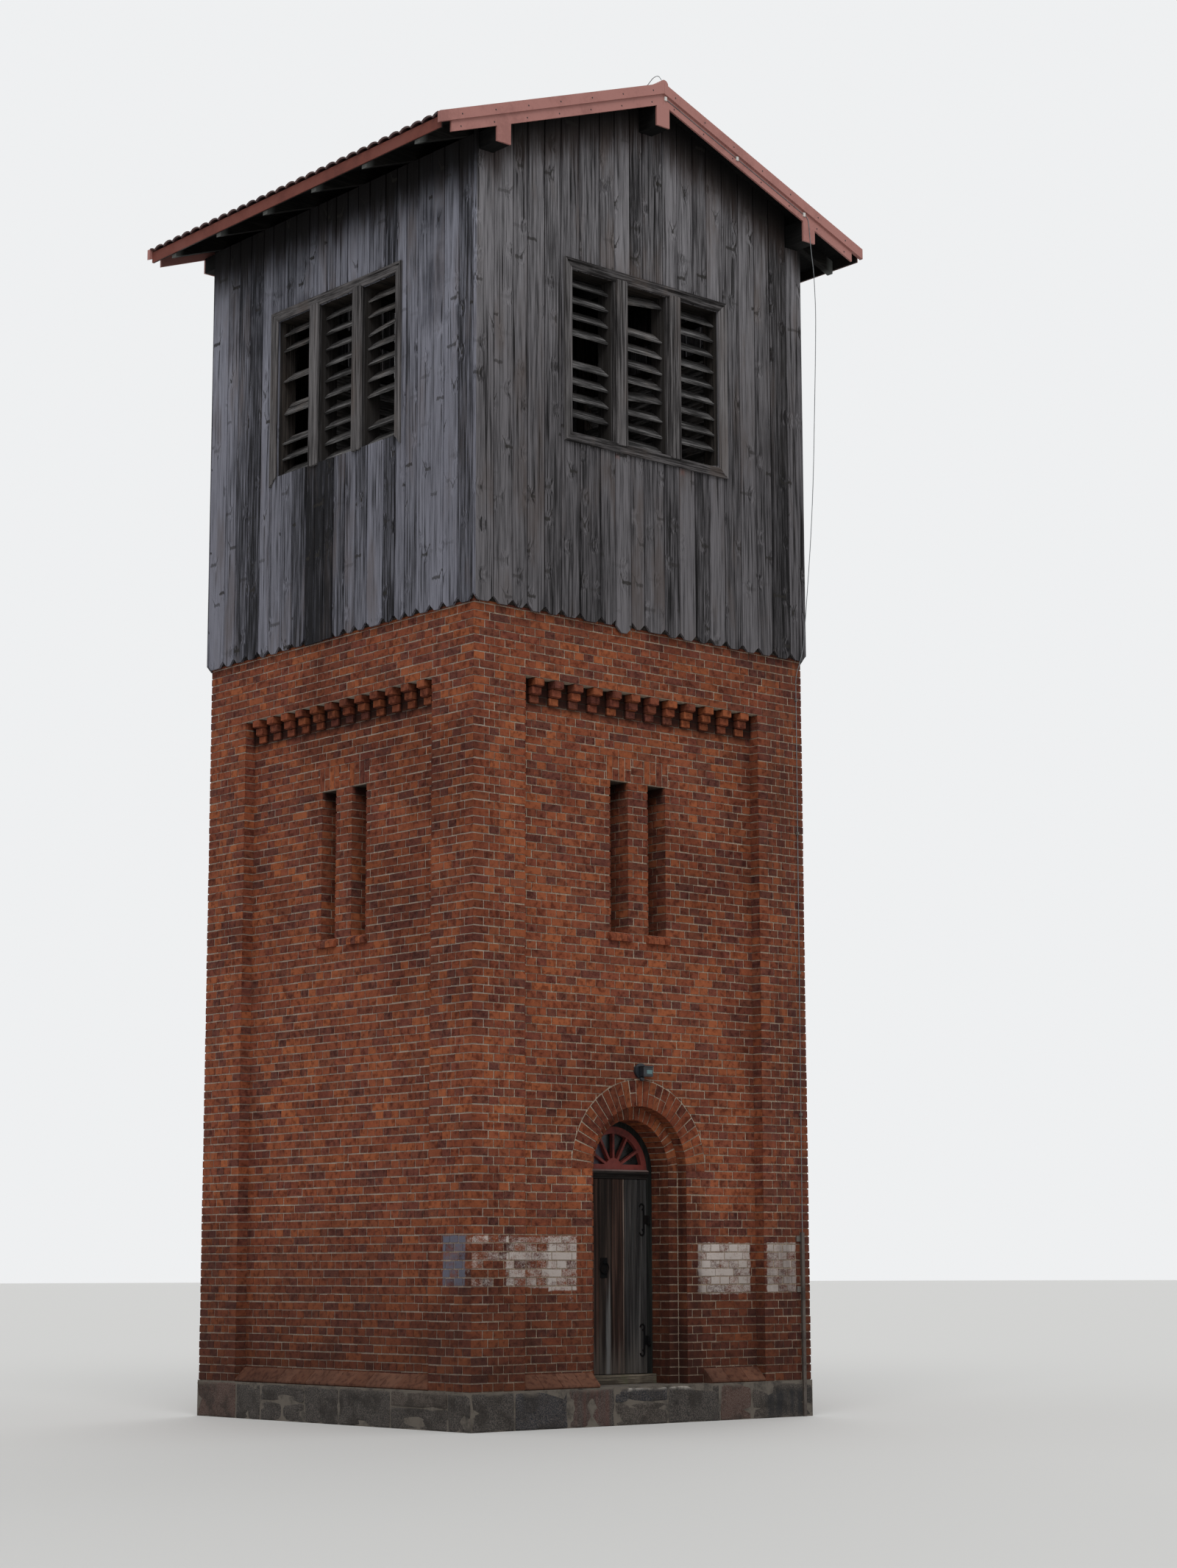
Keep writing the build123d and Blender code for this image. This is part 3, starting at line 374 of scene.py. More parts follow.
def wall_bricks(side, brick, rng):
    """The face bricks of one side of the shaft."""
    bm, piers, panel = bmesh.new(), bmesh.new(), bmesh.new()
    half_joint = brick.joint / 2
    out = HALF + (brick.wrap if side in (FRONT, BACK) else half_joint)
    for row, foot, head in face_courses(brick, PLINTH_TOP, FRIEZE_TOP):
        for end in (-1, 1):
            marks = pier_marks(row, brick.header, min(end * HALF, end * PANEL_HALF))
            ends = sorted((end * (PANEL_HALF - brick.wrap), end * out))
            brick_row(piers, foot, head, joints_between(*ends, marks))
    for row, foot, head in face_courses(brick, FRIEZE_TOP, WALL_TOP):
        brick_row(piers, foot, head, joints_between(-out, out, panel_marks(row, brick.header, -HALF, HALF)))
    finish_bricks(bm, piers, rng, on_face(HALF), brick)

    for row, foot, head in face_courses(brick, PLINTH_TOP, FRIEZE_TOP):
        if head < PANEL_SILL_TOP:
            if side == FRONT:
                brick_row(panel, foot, head, [ARCH_R - brick.wrap, SILL_STOP])
            continue
        gone = openings_at(side, (foot + head) / 2, brick.wrap)
        marks = panel_marks(row, brick.header, -PANEL_HALF, PANEL_HALF)
        brick_row(panel, foot, head, joints_between(-PANEL_HALF, PANEL_HALF, marks, gone), gone)
    if side == FRONT:
        cut_to_arch(panel, RING_OUT)
    finish_bricks(bm, panel, rng, on_face(PANEL_FACE), brick)

    for end in (-1, 1):
        reveal = bmesh.new()
        for row, foot, head in face_courses(brick, PLINTH_TOP, FRIEZE_TOP):
            brick_row(reveal, foot, head, [PANEL_FACE, HALF + half_joint])
        finish_bricks(bm, reveal, rng, on_jamb(end * PANEL_HALF, -end), brick)
    slit_bricks(bm, brick, rng)
    bmesh.ops.transform(bm, matrix=turned(side), verts=bm.verts)
    return bm


def cut_to_arch(bm, radius):
    """Cuts the bricks round the arch to its outer edge, each by one straight chop."""
    middle = Vector((0, SPRING, 0))
    for face in list(bm.faces):
        centre = face.calc_center_median()
        reaches = [(vert.co - middle).length for vert in face.verts]
        if centre.y < SPRING:
            continue
        if max(reaches) < radius + NARROWEST_BAT:
            bmesh.ops.delete(bm, geom=[face], context="FACES")
            continue
        if min(reaches) > radius:
            continue
        spoke = (centre - middle).normalized()
        part = bmesh.new()
        part.faces.new([part.verts.new(vert.co) for vert in face.verts])
        bmesh.ops.bisect_plane(part, geom=part.verts[:] + part.edges[:] + part.faces[:],
                               plane_co=middle + spoke * radius, plane_no=spoke, clear_inner=True)
        bmesh.ops.delete(bm, geom=[face], context="FACES")
        if part.faces and sum(piece.calc_area() for piece in part.faces) > SMALLEST_CHIP:
            merge_into(bm, part)
        else:
            part.free()


def slit_bricks(bm, brick, rng):
    """Lintels of upright bricks over the slits, and the bricks of their reveals."""
    uprights = 4
    half_way, top = SLIT_TOP + LINTEL_H * 0.5, SLIT_TOP + LINTEL_H
    for end in (-1, 1):
        start, stop = sorted((end * (SLIT_INNER - LINTEL_LAP), end * (SLIT_OUTER + LINTEL_LAP)))
        step = (stop - start) / uprights
        lintel = bmesh.new()
        for n in range(uprights):
            levels = (SLIT_TOP, half_way, top) if n % 2 else (SLIT_TOP, top)
            for foot, head in zip(levels, levels[1:]):
                brick_row(lintel, foot, head, [start + n * step, start + (n + 1) * step])
        finish_bricks(bm, lintel, rng, on_face(PANEL_FACE), brick)
        for jamb, way in ((SLIT_INNER, 1), (SLIT_OUTER, -1)):
            reveal = bmesh.new()
            for row, foot, head in face_courses(brick, SLIT_SILL, SLIT_TOP):
                marks = [WALL_BACK + brick.header * n for n in ((0.5, 2.5) if row % 2 else (1, 2, 3))]
                brick_row(reveal, foot, head, joints_between(WALL_BACK, PANEL_FACE + brick.joint / 2, marks))
            finish_bricks(bm, reveal, rng, on_jamb(end * jamb, end * way), brick)


# Doorway arch: two orders of bricks on edge

def ring_face(bm, brick, rng, inner, outer, face, count, split):
    """The faces of an arch ring; some of its bricks are two short ones."""
    middle = (inner + outer) / 2
    step = pi * middle / count
    row = bmesh.new()
    for n in range(count):
        levels = (inner - brick.wrap, middle, outer) if rng.random() < split else (inner - brick.wrap, outer)
        for low, high in zip(levels, levels[1:]):
            brick_row(row, low, high, [n * step, (n + 1) * step])

    def place(co):
        angle = pi - co.x / middle
        return Vector((co.y * cos(angle), -face - co.z, SPRING + co.y * sin(angle)))

    finish_bricks(bm, row, rng, place, brick)


def ring_soffit(bm, brick, rng, radius, back, face, count):
    """The undersides of the bricks of an arch ring."""
    step = pi * radius / count
    row = bmesh.new()
    brick_row(row, back, face + brick.joint / 2, [n * step for n in range(count + 1)])

    def place(co):
        angle = pi - co.x / radius
        reach = radius - co.z
        return Vector((reach * cos(angle), -co.y, SPRING + reach * sin(angle)))

    finish_bricks(bm, row, rng, place, brick)


def door_jambs(bm, brick, rng):
    """Bricks of the two orders beside the door, from the plinth to the arch."""
    half_joint = brick.joint / 2
    outer_ends = [INNER_FACE, PANEL_FACE + half_joint]
    inner_ends = [FRAME_FACE, INNER_FACE + half_joint]
    middle = (FRAME_FACE + INNER_FACE) / 2
    for end in (-1, 1):
        outer, step, inner = bmesh.new(), bmesh.new(), bmesh.new()
        for row, foot, head in face_courses(brick, PLINTH_TOP, SPRING):
            head = min(head, SPRING)
            brick_row(outer, foot, head, outer_ends)
            brick_row(step, foot, head, [INNER_R - brick.wrap, ARCH_R - brick.wrap])
            brick_row(inner, foot, head, sorted([*inner_ends, middle]) if row % 2 else inner_ends)
        finish_bricks(bm, outer, rng, on_jamb(end * ARCH_R, -end), brick)
        finish_bricks(bm, step, rng, on_face(INNER_FACE, end), brick)
        finish_bricks(bm, inner, rng, on_jamb(end * INNER_R, -end), brick)


# Moulded bricks of the frieze and the sills

def corbel_mesh(brick, rng):
    """The corbels of one side: three bricks each, with their mortar between them."""
    bm = bmesh.new()
    gap, slip = brick.joint / 2, 0.002
    core = 2.4 * gap
    for n in range(1, round(2 * PANEL_HALF / brick.header), 2):
        left = -PANEL_HALF + n * brick.header
        right = left + brick.header
        for step, reach in enumerate(CORBEL_REACHES):
            head = FRIEZE_TOP - step * brick.course
            foot = head - brick.course
            sway = rng.uniform(-slip, slip)
            box_mesh(bm, (left + gap + sway, -PANEL_FACE - reach - brick.proud, foot + gap),
                     (right - gap + sway, -PANEL_FACE, head - gap), brick.arris)
            box_mesh(bm, (left + core, -PANEL_FACE - reach + gap, foot), (right - core, -PANEL_FACE, head))
    set_tone(bm, rng)
    return bm


def panel_sill_mesh(side, brick, rng):
    """Chamfered bricks at the foot of a panel; on the front they stop at the door."""
    bm = bmesh.new()
    gap, worn = 0.002, 0.002
    by_door = ((-PANEL_HALF, -ARCH_R), (SILL_STOP, PANEL_HALF))
    for start, stop in by_door if side == FRONT else ((-PANEL_HALF, PANEL_HALF),):
        count = max(2, round((stop - start) / (2 * brick.header)))
        step = (stop - start) / count
        for n in range(count):
            sag = rng.uniform(-0.003, 0.001)
            section = [(-PANEL_FACE, PLINTH_TOP), (-HALF + 0.006, PLINTH_TOP),
                       (-HALF - 0.004, PLINTH_TOP + 0.012), (-HALF - 0.004, PLINTH_TOP + 0.030 + sag),
                       (-HALF + 0.010, PLINTH_TOP + 0.044 + sag),
                       (-PANEL_FACE - 0.012, PANEL_SILL_TOP - 0.006 + sag),
                       (-PANEL_FACE, PANEL_SILL_TOP + sag)]
            sill_brick(bm, section, start + n * step + gap, start + (n + 1) * step - gap, worn)
    return bm


def slit_sill_mesh():
    """Sloping sills of bricks on edge under the two slits of a side."""
    bm = bmesh.new()
    half, reach, drop, across = 0.155, 0.045, 0.090, 4
    gap, worn = 0.003, 0.003
    step = 2 * half / across
    nose, foot = -PANEL_FACE - reach, SLIT_SILL - drop
    section = [(-PANEL_FACE, foot), (nose, foot), (nose, SLIT_SILL - drop / 3), (-PANEL_FACE, SLIT_SILL)]
    for end in (-1, 1):
        start = end * (SLIT_INNER + SLIT_OUTER) / 2 - half
        for n in range(across):
            sill_brick(bm, section, start + n * step + gap, start + (n + 1) * step - gap, worn)
    return bm


# Plinth of split fieldstones

def plinth_mesh(rng):
    """Stones with worn, uneven faces for one side of the plinth."""
    bm = bmesh.new()
    out, deep, gap, bed = HALF + 0.015, 0.10, 0.008, 0.012
    shortest, longest, spare = 0.42, 0.90, 0.05
    joints = [-out]
    while joints[-1] < out - longest - spare:
        joints.append(joints[-1] + rng.uniform(shortest, longest))
    joints.append(out)
    for left, right in zip(joints, joints[1:]):
        two_high = right - left > 0.7 and rng.random() < 0.4
        levels = (0.0, rng.uniform(0.16, 0.22), PLINTH_TOP) if two_high else (0.0, PLINTH_TOP)
        for foot, head in zip(levels, levels[1:]):
            # This draw isn't used; it keeps the ones that follow as they are
            rng.random()
            box_mesh(bm, (left + gap, -out - 0.006, foot), (right - gap, -out + deep, head - bed))
    wear_edges(bm, bm.edges, 0.018, 2)
    bmesh.ops.subdivide_edges(bm, edges=[edge for edge in bm.edges if edge.calc_length() > 0.09],
                              cuts=3, use_grid_fill=True)
    set_tone(bm, rng)
    for vert in bm.verts:
        if vert.co.y < -out + 0.03:
            rough = noise.noise(vert.co * 7) * 0.020 + noise.noise(vert.co * 23) * 0.006
            vert.co.y = max(vert.co.y + rough, -out - 0.012)
    return bm


# Boarding

def board_edges(half, widths):
    """Where the boards of one side meet."""
    share = 2 * half / sum(widths)
    edges = [-half]
    for width in widths:
        edges.append(edges[-1] + width * share)
    return edges


def cut_slice(whole, left, right):
    """The part of a closed mesh between two upright planes, closed again."""
    part = bmesh.new()
    part.from_mesh(whole)
    for at, way in ((left, -1), (right, 1)):
        cut = bmesh.ops.bisect_plane(part, geom=part.verts[:] + part.edges[:] + part.faces[:],
                                     dist=1e-6, plane_co=(at, 0, 0), plane_no=(way, 0, 0),
                                     clear_outer=True)["geom_cut"]
        open_edges = [piece for piece in cut if isinstance(piece, bmesh.types.BMEdge)]
        if open_edges:
            bmesh.ops.holes_fill(part, edges=open_edges, sides=0)
    return part


def boarding_mesh(node, side, rng):
    """Cuts a packed side of the boarding into its boards, each with its own stand and drop."""
    source = bmesh.new()
    source.from_mesh(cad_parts[node].data)
    bmesh.ops.remove_doubles(source, verts=source.verts, dist=1e-5)
    bmesh.ops.transform(source, matrix=turned(-side), verts=source.verts)
    bmesh.ops.dissolve_limit(source, angle_limit=radians(1), verts=source.verts, edges=source.edges)
    half = max(vert.co.x for vert in source.verts)
    whole = bpy.data.meshes.new("passing")
    source.to_mesh(whole)
    source.free()
    bm = bmesh.new()
    edges = board_edges(half, GABLE_BOARDS if side in (FRONT, BACK) else SIDE_BOARDS)
    for left, right in zip(edges, edges[1:]):
        gap = rng.uniform(0.008, 0.016)
        board = cut_slice(whole, left + gap / 2, right - gap / 2)
        stand = rng.uniform(-0.005, 0.0)
        tilt = rng.uniform(-0.025, 0.025)
        drop = rng.uniform(-0.007, 0.007)
        front = min(vert.co.y for vert in board.verts) + 1e-4
        arrises = [edge for edge in board.edges if all(vert.co.y < front for vert in edge.verts)
                   and abs(edge.verts[0].co.z - edge.verts[1].co.z) > 0.3]
        wear_edges(board, arrises, 0.005)
        for vert in board.verts:
            vert.co.y += stand + tilt * (vert.co.x - (left + right) / 2)
            if vert.co.z < WALL_TOP:
                vert.co.z += drop
        bmesh.ops.recalc_face_normals(board, faces=board.faces)
        merge_into(bm, board)
    bpy.data.meshes.remove(whole)
    set_tone(bm, rng)
    if side == LEFT:
        tone = bm.verts.layers.float["tone"]
        start, stop = edges[NEW_BOARDS[0]], edges[NEW_BOARDS[1] + 1]
        for vert in bm.verts:
            if start < vert.co.x < stop and vert.co.z < NEW_BOARDS_TOP:
                vert[tone] = NEW_TONE
    bmesh.ops.triangulate(bm, faces=[face for face in bm.faces if len(face.verts) > 4])
    bmesh.ops.transform(bm, matrix=turned(side), verts=bm.verts)
    return bm


# Windows

def casing_mesh(side):
    """Mitred, moulded casing boards, from inner edge to outer; the left side has none at the foot."""
    bm = bmesh.new()
    upright, level = 0, 1
    top_left, top_right = (-WINDOW_HALF, WINDOW_TOP), (WINDOW_HALF, WINDOW_TOP)
    low_left, low_right = (-WINDOW_HALF, WINDOW_LOW), (WINDOW_HALF, WINDOW_LOW)
    boards = [(top_left, top_right, (0, 1), level), (low_right, low_left, (0, -1), level),
              (low_left, top_left, (-1, 0), upright), (top_right, low_right, (1, 0), upright)]
    if side == LEFT:
        del boards[1]
    for start, stop, out, grain in boards:
        along = (Vector(stop) - Vector(start)).normalized()
        loops = []
        for corner, way in ((start, -1), (stop, 1)):
            loop = []
            for across, thick in CASING:
                spread = Vector(corner) + Vector(out) * across + along * way * across
                loop.append(bm.verts.new((spread.x, -CLAD_FACE - thick, spread.y)))
            loops.append(loop)
            bm.faces.new(loop)
        verts = loops[0] + loops[1]
        bmesh.ops.bridge_loops(bm, edges=list({edge for vert in verts for edge in vert.link_edges}))
        for face in {face for vert in verts for face in vert.link_faces}:
            face.material_index = grain
    bmesh.ops.recalc_face_normals(bm, faces=bm.faces)
    return bm


def mullion_boards():
    """Cover boards on the uprights of a window, lapping the casing with chamfered ends."""
    bm = bmesh.new()
    half, aside, lap, thick, seat, edge, worn = 0.075, 0.015, 0.024, 0.030, 0.004, 0.014, 0.005
    low, high = WINDOW_LOW - lap, WINDOW_TOP + lap
    for n in (1, 2):
        middle = -WINDOW_HALF + n * (BAY + POST) - POST / 2 + aside
        left, right = middle - half, middle + half
        outline = [(left, low + edge), (left + edge, low), (right - edge, low), (right, low + edge),
                   (right, high - edge), (right - edge, high), (left + edge, high), (left, high - edge)]
        face, _ = drawn_out(bm, [(x, -CLAD_FACE - thick, z) for x, z in outline], (0, thick + seat, 0))
        wear_edges(bm, face.edges, worn)
    return bm


# Door and lamp

def door_mesh():
    """Planks of the leaf, with the ledges behind them."""
    bm = bmesh.new()
    low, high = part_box("door_leaf")
    ledge_deep, ledge_half, inset, gap = 0.028, 0.060, 0.040, 0.005
    inside = high.y - ledge_deep
    tone = bm.verts.layers.float.new("tone")

    def add_board(shade, start, stop, worn):
        before = set(bm.verts)
        box_mesh(bm, start, stop, worn)
        for vert in set(bm.verts) - before:
            vert[tone] = shade

    for (a, b), shade in zip(zip(PLANKS, PLANKS[1:]), PLANK_TONES):
        stand = 0.003 if shade == max(PLANK_TONES) else 0.0
        left = a if a == PLANKS[0] else a + gap / 2
        right = b if b == PLANKS[-1] else b - gap / 2
        add_board(shade, (left, low.y + stand, low.z), (right, inside, high.z), 0.003)
    for height in LEDGE_HEIGHTS:
        z = PLINTH_TOP + height
        add_board(LEDGE_TONE, (low.x + inset, inside, z - ledge_half),
                  (high.x - inset, high.y, z + ledge_half), 0.004)
    return bm


def lamp_blocks(blocks):
    """Blocks measured from the lamp's left and right, twice from its front and twice from its foot."""
    bm = bmesh.new()
    low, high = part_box("wall_lamp")
    for x0, x1, y0, y1, z0, z1, worn in blocks:
        box_mesh(bm, (LAMP_LEFT + x0, low.y + y0, LAMP_FOOT + z0),
                 (high.x + x1, low.y + y1, LAMP_FOOT + z1), worn)
    return bm


def lamp_trim():
    """Hood, bezel and sensor of the lamp."""
    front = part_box("wall_lamp")[0].y
    bm = lamp_blocks(((-0.004, -0.004, -0.016, 0.070, LAMP_HEAD_H - 0.006, LAMP_HEAD_H + 0.004, 0.002),
                      (0.012, -0.010, -0.004, 0.002, 0.008, 0.020, 0.001),
                      (0.012, -0.010, -0.004, 0.002, 0.070, 0.078, 0.001)))
    for height in (0.016, 0.074):
        ball_mesh(bm, (LAMP_LEFT + 0.024, front + 0.03, LAMP_FOOT + height), 0.012)
    ball_mesh(bm, (0.0, front + 0.060, LAMP_FOOT - 0.022), 0.026, 14, 8)
    return bm


# Roof

def screw_mesh():
    """Screw heads along the barge boards of a gable, upper and lower."""
    bm = bmesh.new()
    count, first, apart, radius, flat = 7, 0.16, 0.43, 0.0095, 0.15
    rows = ((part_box("barge_boards")[1].y, 0.060), (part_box("lower_barge_boards")[1].y, 0.175))
    for end in (-1, 1):
        for face, drop in rows:
            for n in range(count):
                x = first + n * apart
                z = RIDGE_Z - x * tan(ROOF_SLOPE) - drop / cos(ROOF_SLOPE)
                ball_mesh(bm, (end * x, -face, z), radius, flat=flat)
    return bm


def roof_sheet_mesh(end):
    """One slope of tile-shaped sheet: waves across, and a step down at every tile row."""
    bm = bmesh.new()
    waves, per_wave, rows = 29, 8, 9
    wave_h, rise, step_h, lap, skin, verge = 0.028, 0.010, 0.014, 0.97, 0.004, 0.045
    run, half = EAVE_X - skin, GABLE_Y - verge
    bmesh.ops.create_grid(bm, x_segments=rows * 2, y_segments=waves * per_wave, size=0.5)
    for vert in bm.verts:
        row, foot = divmod(round((vert.co.x + 0.5) * rows * 2), 2)
        x = (row + (lap if foot else 0)) / rows * run
        crown = abs(sin(pi * (vert.co.y * waves))) ** 0.7
        drop = wave_h * (1 - crown) - rise + (step_h if foot else 0)
        z = RIDGE_Z - x * tan(ROOF_SLOPE) - drop / cos(ROOF_SLOPE)
        vert.co = Vector((end * x, vert.co.y * 2 * half, z))
    bmesh.ops.recalc_face_normals(bm, faces=bm.faces)
    if sum(face.normal.z for face in bm.faces) < 0:
        bmesh.ops.reverse_faces(bm, faces=bm.faces)
    bmesh.ops.solidify(bm, geom=list(bm.faces), thickness=skin)
    bmesh.ops.recalc_face_normals(bm, faces=bm.faces)
    return bm


# How finishes are written: sums and products of what varies over a surface are nodes

class Varied:
    """A value, place or colour that varies over a surface, given by a node's socket."""

    def __init__(self, socket):
        self.socket = socket
        self.tree = socket.id_data

    def __add__(self, other):
        return maths("ADD", self, other)

    def __sub__(self, other):
        return maths("SUBTRACT", self, other)

    def __rsub__(self, other):
        return maths("SUBTRACT", other, self)

    def __mul__(self, other):
        return maths("MULTIPLY", self, other)

    def __truediv__(self, other):
        return maths("DIVIDE", self, other)

    def __abs__(self):
        return maths("ABSOLUTE", self)


def rgb(red, green, blue):
    """A colour picked on a screen, as the shader wants it."""
    shares = [value / 255 for value in (red, green, blue)]
    linear = [share / 12.92 if share <= 0.04045 else ((share + 0.055) / 1.055) ** 2.4 for share in shares]
    return (*linear, 1.0)


def add_node(tree, kind, inputs=None, **settings):
    """A node with these settings; an input is a plain value or what another node gives."""
    node = tree.nodes.new(kind)
    for name, value in settings.items():
        setattr(node, name, value)
    for key, value in (inputs or {}).items():
        if isinstance(value, Varied):
            tree.links.new(value.socket, node.inputs[key])
        else:
            node.inputs[key].default_value = value
    return node


def put(tree, kind, inputs=None, output=0, **settings):
    """What a new node gives at one of its outputs."""
    return Varied(add_node(tree, kind, inputs, **settings).outputs[output])


def tree_of(*values):
    """The node tree that these values belong to."""
    return next(value.tree for value in values if isinstance(value, Varied))


def maths(operation, first, second=0.0):
    """A sum, product or other function of one or two values."""
    return put(tree_of(first, second), "ShaderNodeMath", {0: first, 1: second}, operation=operation)


def vector_maths(operation, first, second=(0, 0, 0)):
    """A sum, product or other function of one or two places."""
    return put(tree_of(first, second), "ShaderNodeVectorMath", {0: first, 1: second}, operation=operation)


def mix(share, first, second, blend="MIX"):
    """The colour between two colours."""
    return put(tree_of(share, first, second), "ShaderNodeMix", {0: share, 6: first, 7: second}, 2,
               data_type="RGBA", blend_type=blend)


def tinted(colour, by):
    """A colour multiplied by another."""
    return mix(1.0, colour, by, "MULTIPLY")


def ramp(value, low, high, out_low=0.0, out_high=1.0):
    """A smooth step of a value, from low to high."""
    return put(value.tree, "ShaderNodeMapRange", {"Value": value, "From Min": low, "From Max": high,
               "To Min": out_low, "To Max": out_high}, "Result", interpolation_type="SMOOTHSTEP")


def laid(colour, over, value, low, high, most=1.0):
    """Lays one colour over another, none of it where the value is low, and the most where it is high."""
    return mix(ramp(value, low, high, 0.0, most), colour, over)


def place_of(tree, scale=None):
    """Where a point lies on the object, stretched where a scale is given."""
    place = put(tree, "ShaderNodeTexCoord", output="Object")
    return put(tree, "ShaderNodeMapping", {"Vector": place, "Scale": scale}) if scale else place


def parts_of(value, kind="ShaderNodeSeparateXYZ"):
    """The three parts of a place, or of a colour with another kind of node."""
    return [Varied(output) for output in add_node(value.tree, kind, {0: value}).outputs]


def around(tree):
    """How far out from the middle of the tower a point lies, squarely, and how high."""
    x, y, z = parts_of(place_of(tree))
    return maths("MAXIMUM", abs(x), abs(y)), z


def cloud(place, scale, detail=3.0, rough=0.55):
    """Noise about its middle value."""
    return put(place.tree, "ShaderNodeTexNoise", {"Vector": place, "Scale": scale, "Detail": detail,
               "Roughness": rough})


def tone_of(tree):
    """The shade that each brick, board or stone was given."""
    return put(tree, "ShaderNodeAttribute", output="Fac", attribute_name="tone")


def tone_band(tone, shades, interpolation="LINEAR"):
    """One of these colours, or one between two of them, for each shade."""
    node = add_node(tone.tree, "ShaderNodeValToRGB", {"Fac": tone})
    node.color_ramp.interpolation = interpolation
    while len(node.color_ramp.elements) < len(shades):
        node.color_ramp.elements.new(0.5)
    for element, (at, shade) in zip(node.color_ramp.elements, shades):
        element.position = at
        element.color = rgb(*shade)
    return Varied(node.outputs["Color"])


# Effects that are used more than once, each a shader group

SOCKETS = {3: "NodeSocketVector", 4: "NodeSocketColor"}
GREY = (0.5, 0.5, 0.5, 1)
GRAIN_INPUTS = {"Light": (0.3, 0.3, 0.3, 1), "Dark": (0.1, 0.1, 0.1, 1), "Warm": (0.2, 0.15, 0.1, 1),
                "Tone": 0.5, "Shift": 0.0, "Stretch": (60, 60, 3), "Patch": (3, 3, 0.7)}
KNOT_INPUTS = {"Color": (0.3, 0.3, 0.3, 1), "Dark": (0.02, 0.018, 0.016, 1), "Tone": 0.5}
DAMP_INPUTS = {"Color": GREY, "Damp": (0.05, 0.04, 0.03, 1), "Height": 1.6, "Amount": 0.6}
PATCH_INPUTS = {"Color": GREY, "Paint": (0.8, 0.8, 0.8, 1), "Middle": (0, 0, 0), "Reach": (1, 1, 1),
                "Cover": 0.6}
GROUPS = {}


def new_group(name, work, inputs):
    """A shader group; work is given its inputs by name, and gives what comes out by name."""
    tree = bpy.data.node_groups.new(name, "ShaderNodeTree")
    for label, default in inputs.items():
        kind = SOCKETS[len(default)] if isinstance(default, tuple) else "NodeSocketFloat"
        tree.interface.new_socket(label, in_out="INPUT", socket_type=kind).default_value = default
    start = tree.nodes.new("NodeGroupInput")
    made = work(tree, **{label.lower(): Varied(start.outputs[label]) for label in inputs})
    for label in made:
        kind = "NodeSocketColor" if label == "Color" else "NodeSocketFloat"
        tree.interface.new_socket(label, in_out="OUTPUT", socket_type=kind)
    end = tree.nodes.new("NodeGroupOutput")
    for label, value in made.items():
        tree.links.new(value.socket, end.inputs[label])
    return tree


def use_group(tree, name, output="Color", **inputs):
    """What a shared group gives with these inputs."""
    return put(tree, "ShaderNodeGroup", inputs, output, node_tree=GROUPS[name])


def timber_grain(tree, light, dark, warm, tone, shift, stretch, patch):
    """Sawn timber: long fibres, drying cracks, and blotches of weather."""
    place = vector_maths("ADD", place_of(tree), tone * 9.0 + shift)
    fibre_at = vector_maths("MULTIPLY", place, stretch)
    fibre = cloud(fibre_at, 1.0, 5.0, 0.68)
    crack = cloud(fibre_at, 0.42, 3.0, 0.6)
    blotch = cloud(vector_maths("MULTIPLY", place, patch), 1.0, 4.0, 0.6)
    bright = tone * 0.26 + (fibre * 0.95 + blotch * 0.35) - crack * 0.55
    colour = laid(dark, light, bright, 0.26, 0.72)
    colour = laid(colour, warm, blotch, 0.52, 0.72, 0.6)
    gape = ramp(crack, 0.61, 0.67, 0.0, 0.8)
    colour = mix(gape, colour, mix(0.55, dark, (0.006, 0.005, 0.005, 1)))
    return {"Color": colour, "Height": fibre - gape}


def knots_in_boards(tree, color, dark, tone):
    """Knots with the grain sweeping up from them, in cells along the boards."""
    wide, high = 0.21, 0.47
    place = place_of(tree)
    x, y, z = parts_of(place)
    across, up = (x + y + tone * 3.1) / wide, (z + tone * 7.7) / high
    cell_at = put(tree, "ShaderNodeCombineXYZ", {"X": across, "Y": up})
    cell = add_node(tree, "ShaderNodeTexVoronoi", {"Vector": cell_at, "Scale": 1.0}, voronoi_dimensions="2D")
    chance, slant, hand = parts_of(Varied(cell.outputs["Color"]), "ShaderNodeSeparateColor")
    side, rise, _ = parts_of(vector_maths("SUBTRACT", cell_at, Varied(cell.outputs["Position"])))
    side, rise = side * wide, rise * high
    wobble = (cloud(place, 30.0, 3.0) - 0.5) * 0.060
    one_way, both_ways = side * maths("SIGN", hand - 0.5), abs(side) * maths("GREATER_THAN", chance, 0.88)
    away = maths("MAXIMUM", one_way, both_ways)
    off_line = abs(rise - away * ramp(slant, 0.0, 1.0, 0.7, 2.4) + wobble)
    width = maths("MAXIMUM", 0.024 - away * 0.24, 0.004)
    stroke = ramp(off_line / width, 1.0, 0.4) * (ramp(away, 0.085, 0.03) * ramp(away, -0.012, 0.002))
    oval = put(tree, "ShaderNodeCombineXYZ", {"X": side / 0.017, "Y": rise / 0.024})
    span = put(tree, "ShaderNodeVectorMath", {0: oval}, "Value", operation="LENGTH")
    there = ramp(chance, 0.42, 0.48)
    strength = there * ramp(slant, 0.1, 0.9, 0.15, 1.0)
    share = strength * maths("MAXIMUM", stroke * 0.9, ramp(span, 1.15, 0.55) * 0.95)
    return {"Color": mix(share, color, dark), "Shift": ramp(span, 5.0, 0.0, 0.0, 0.018) * there}


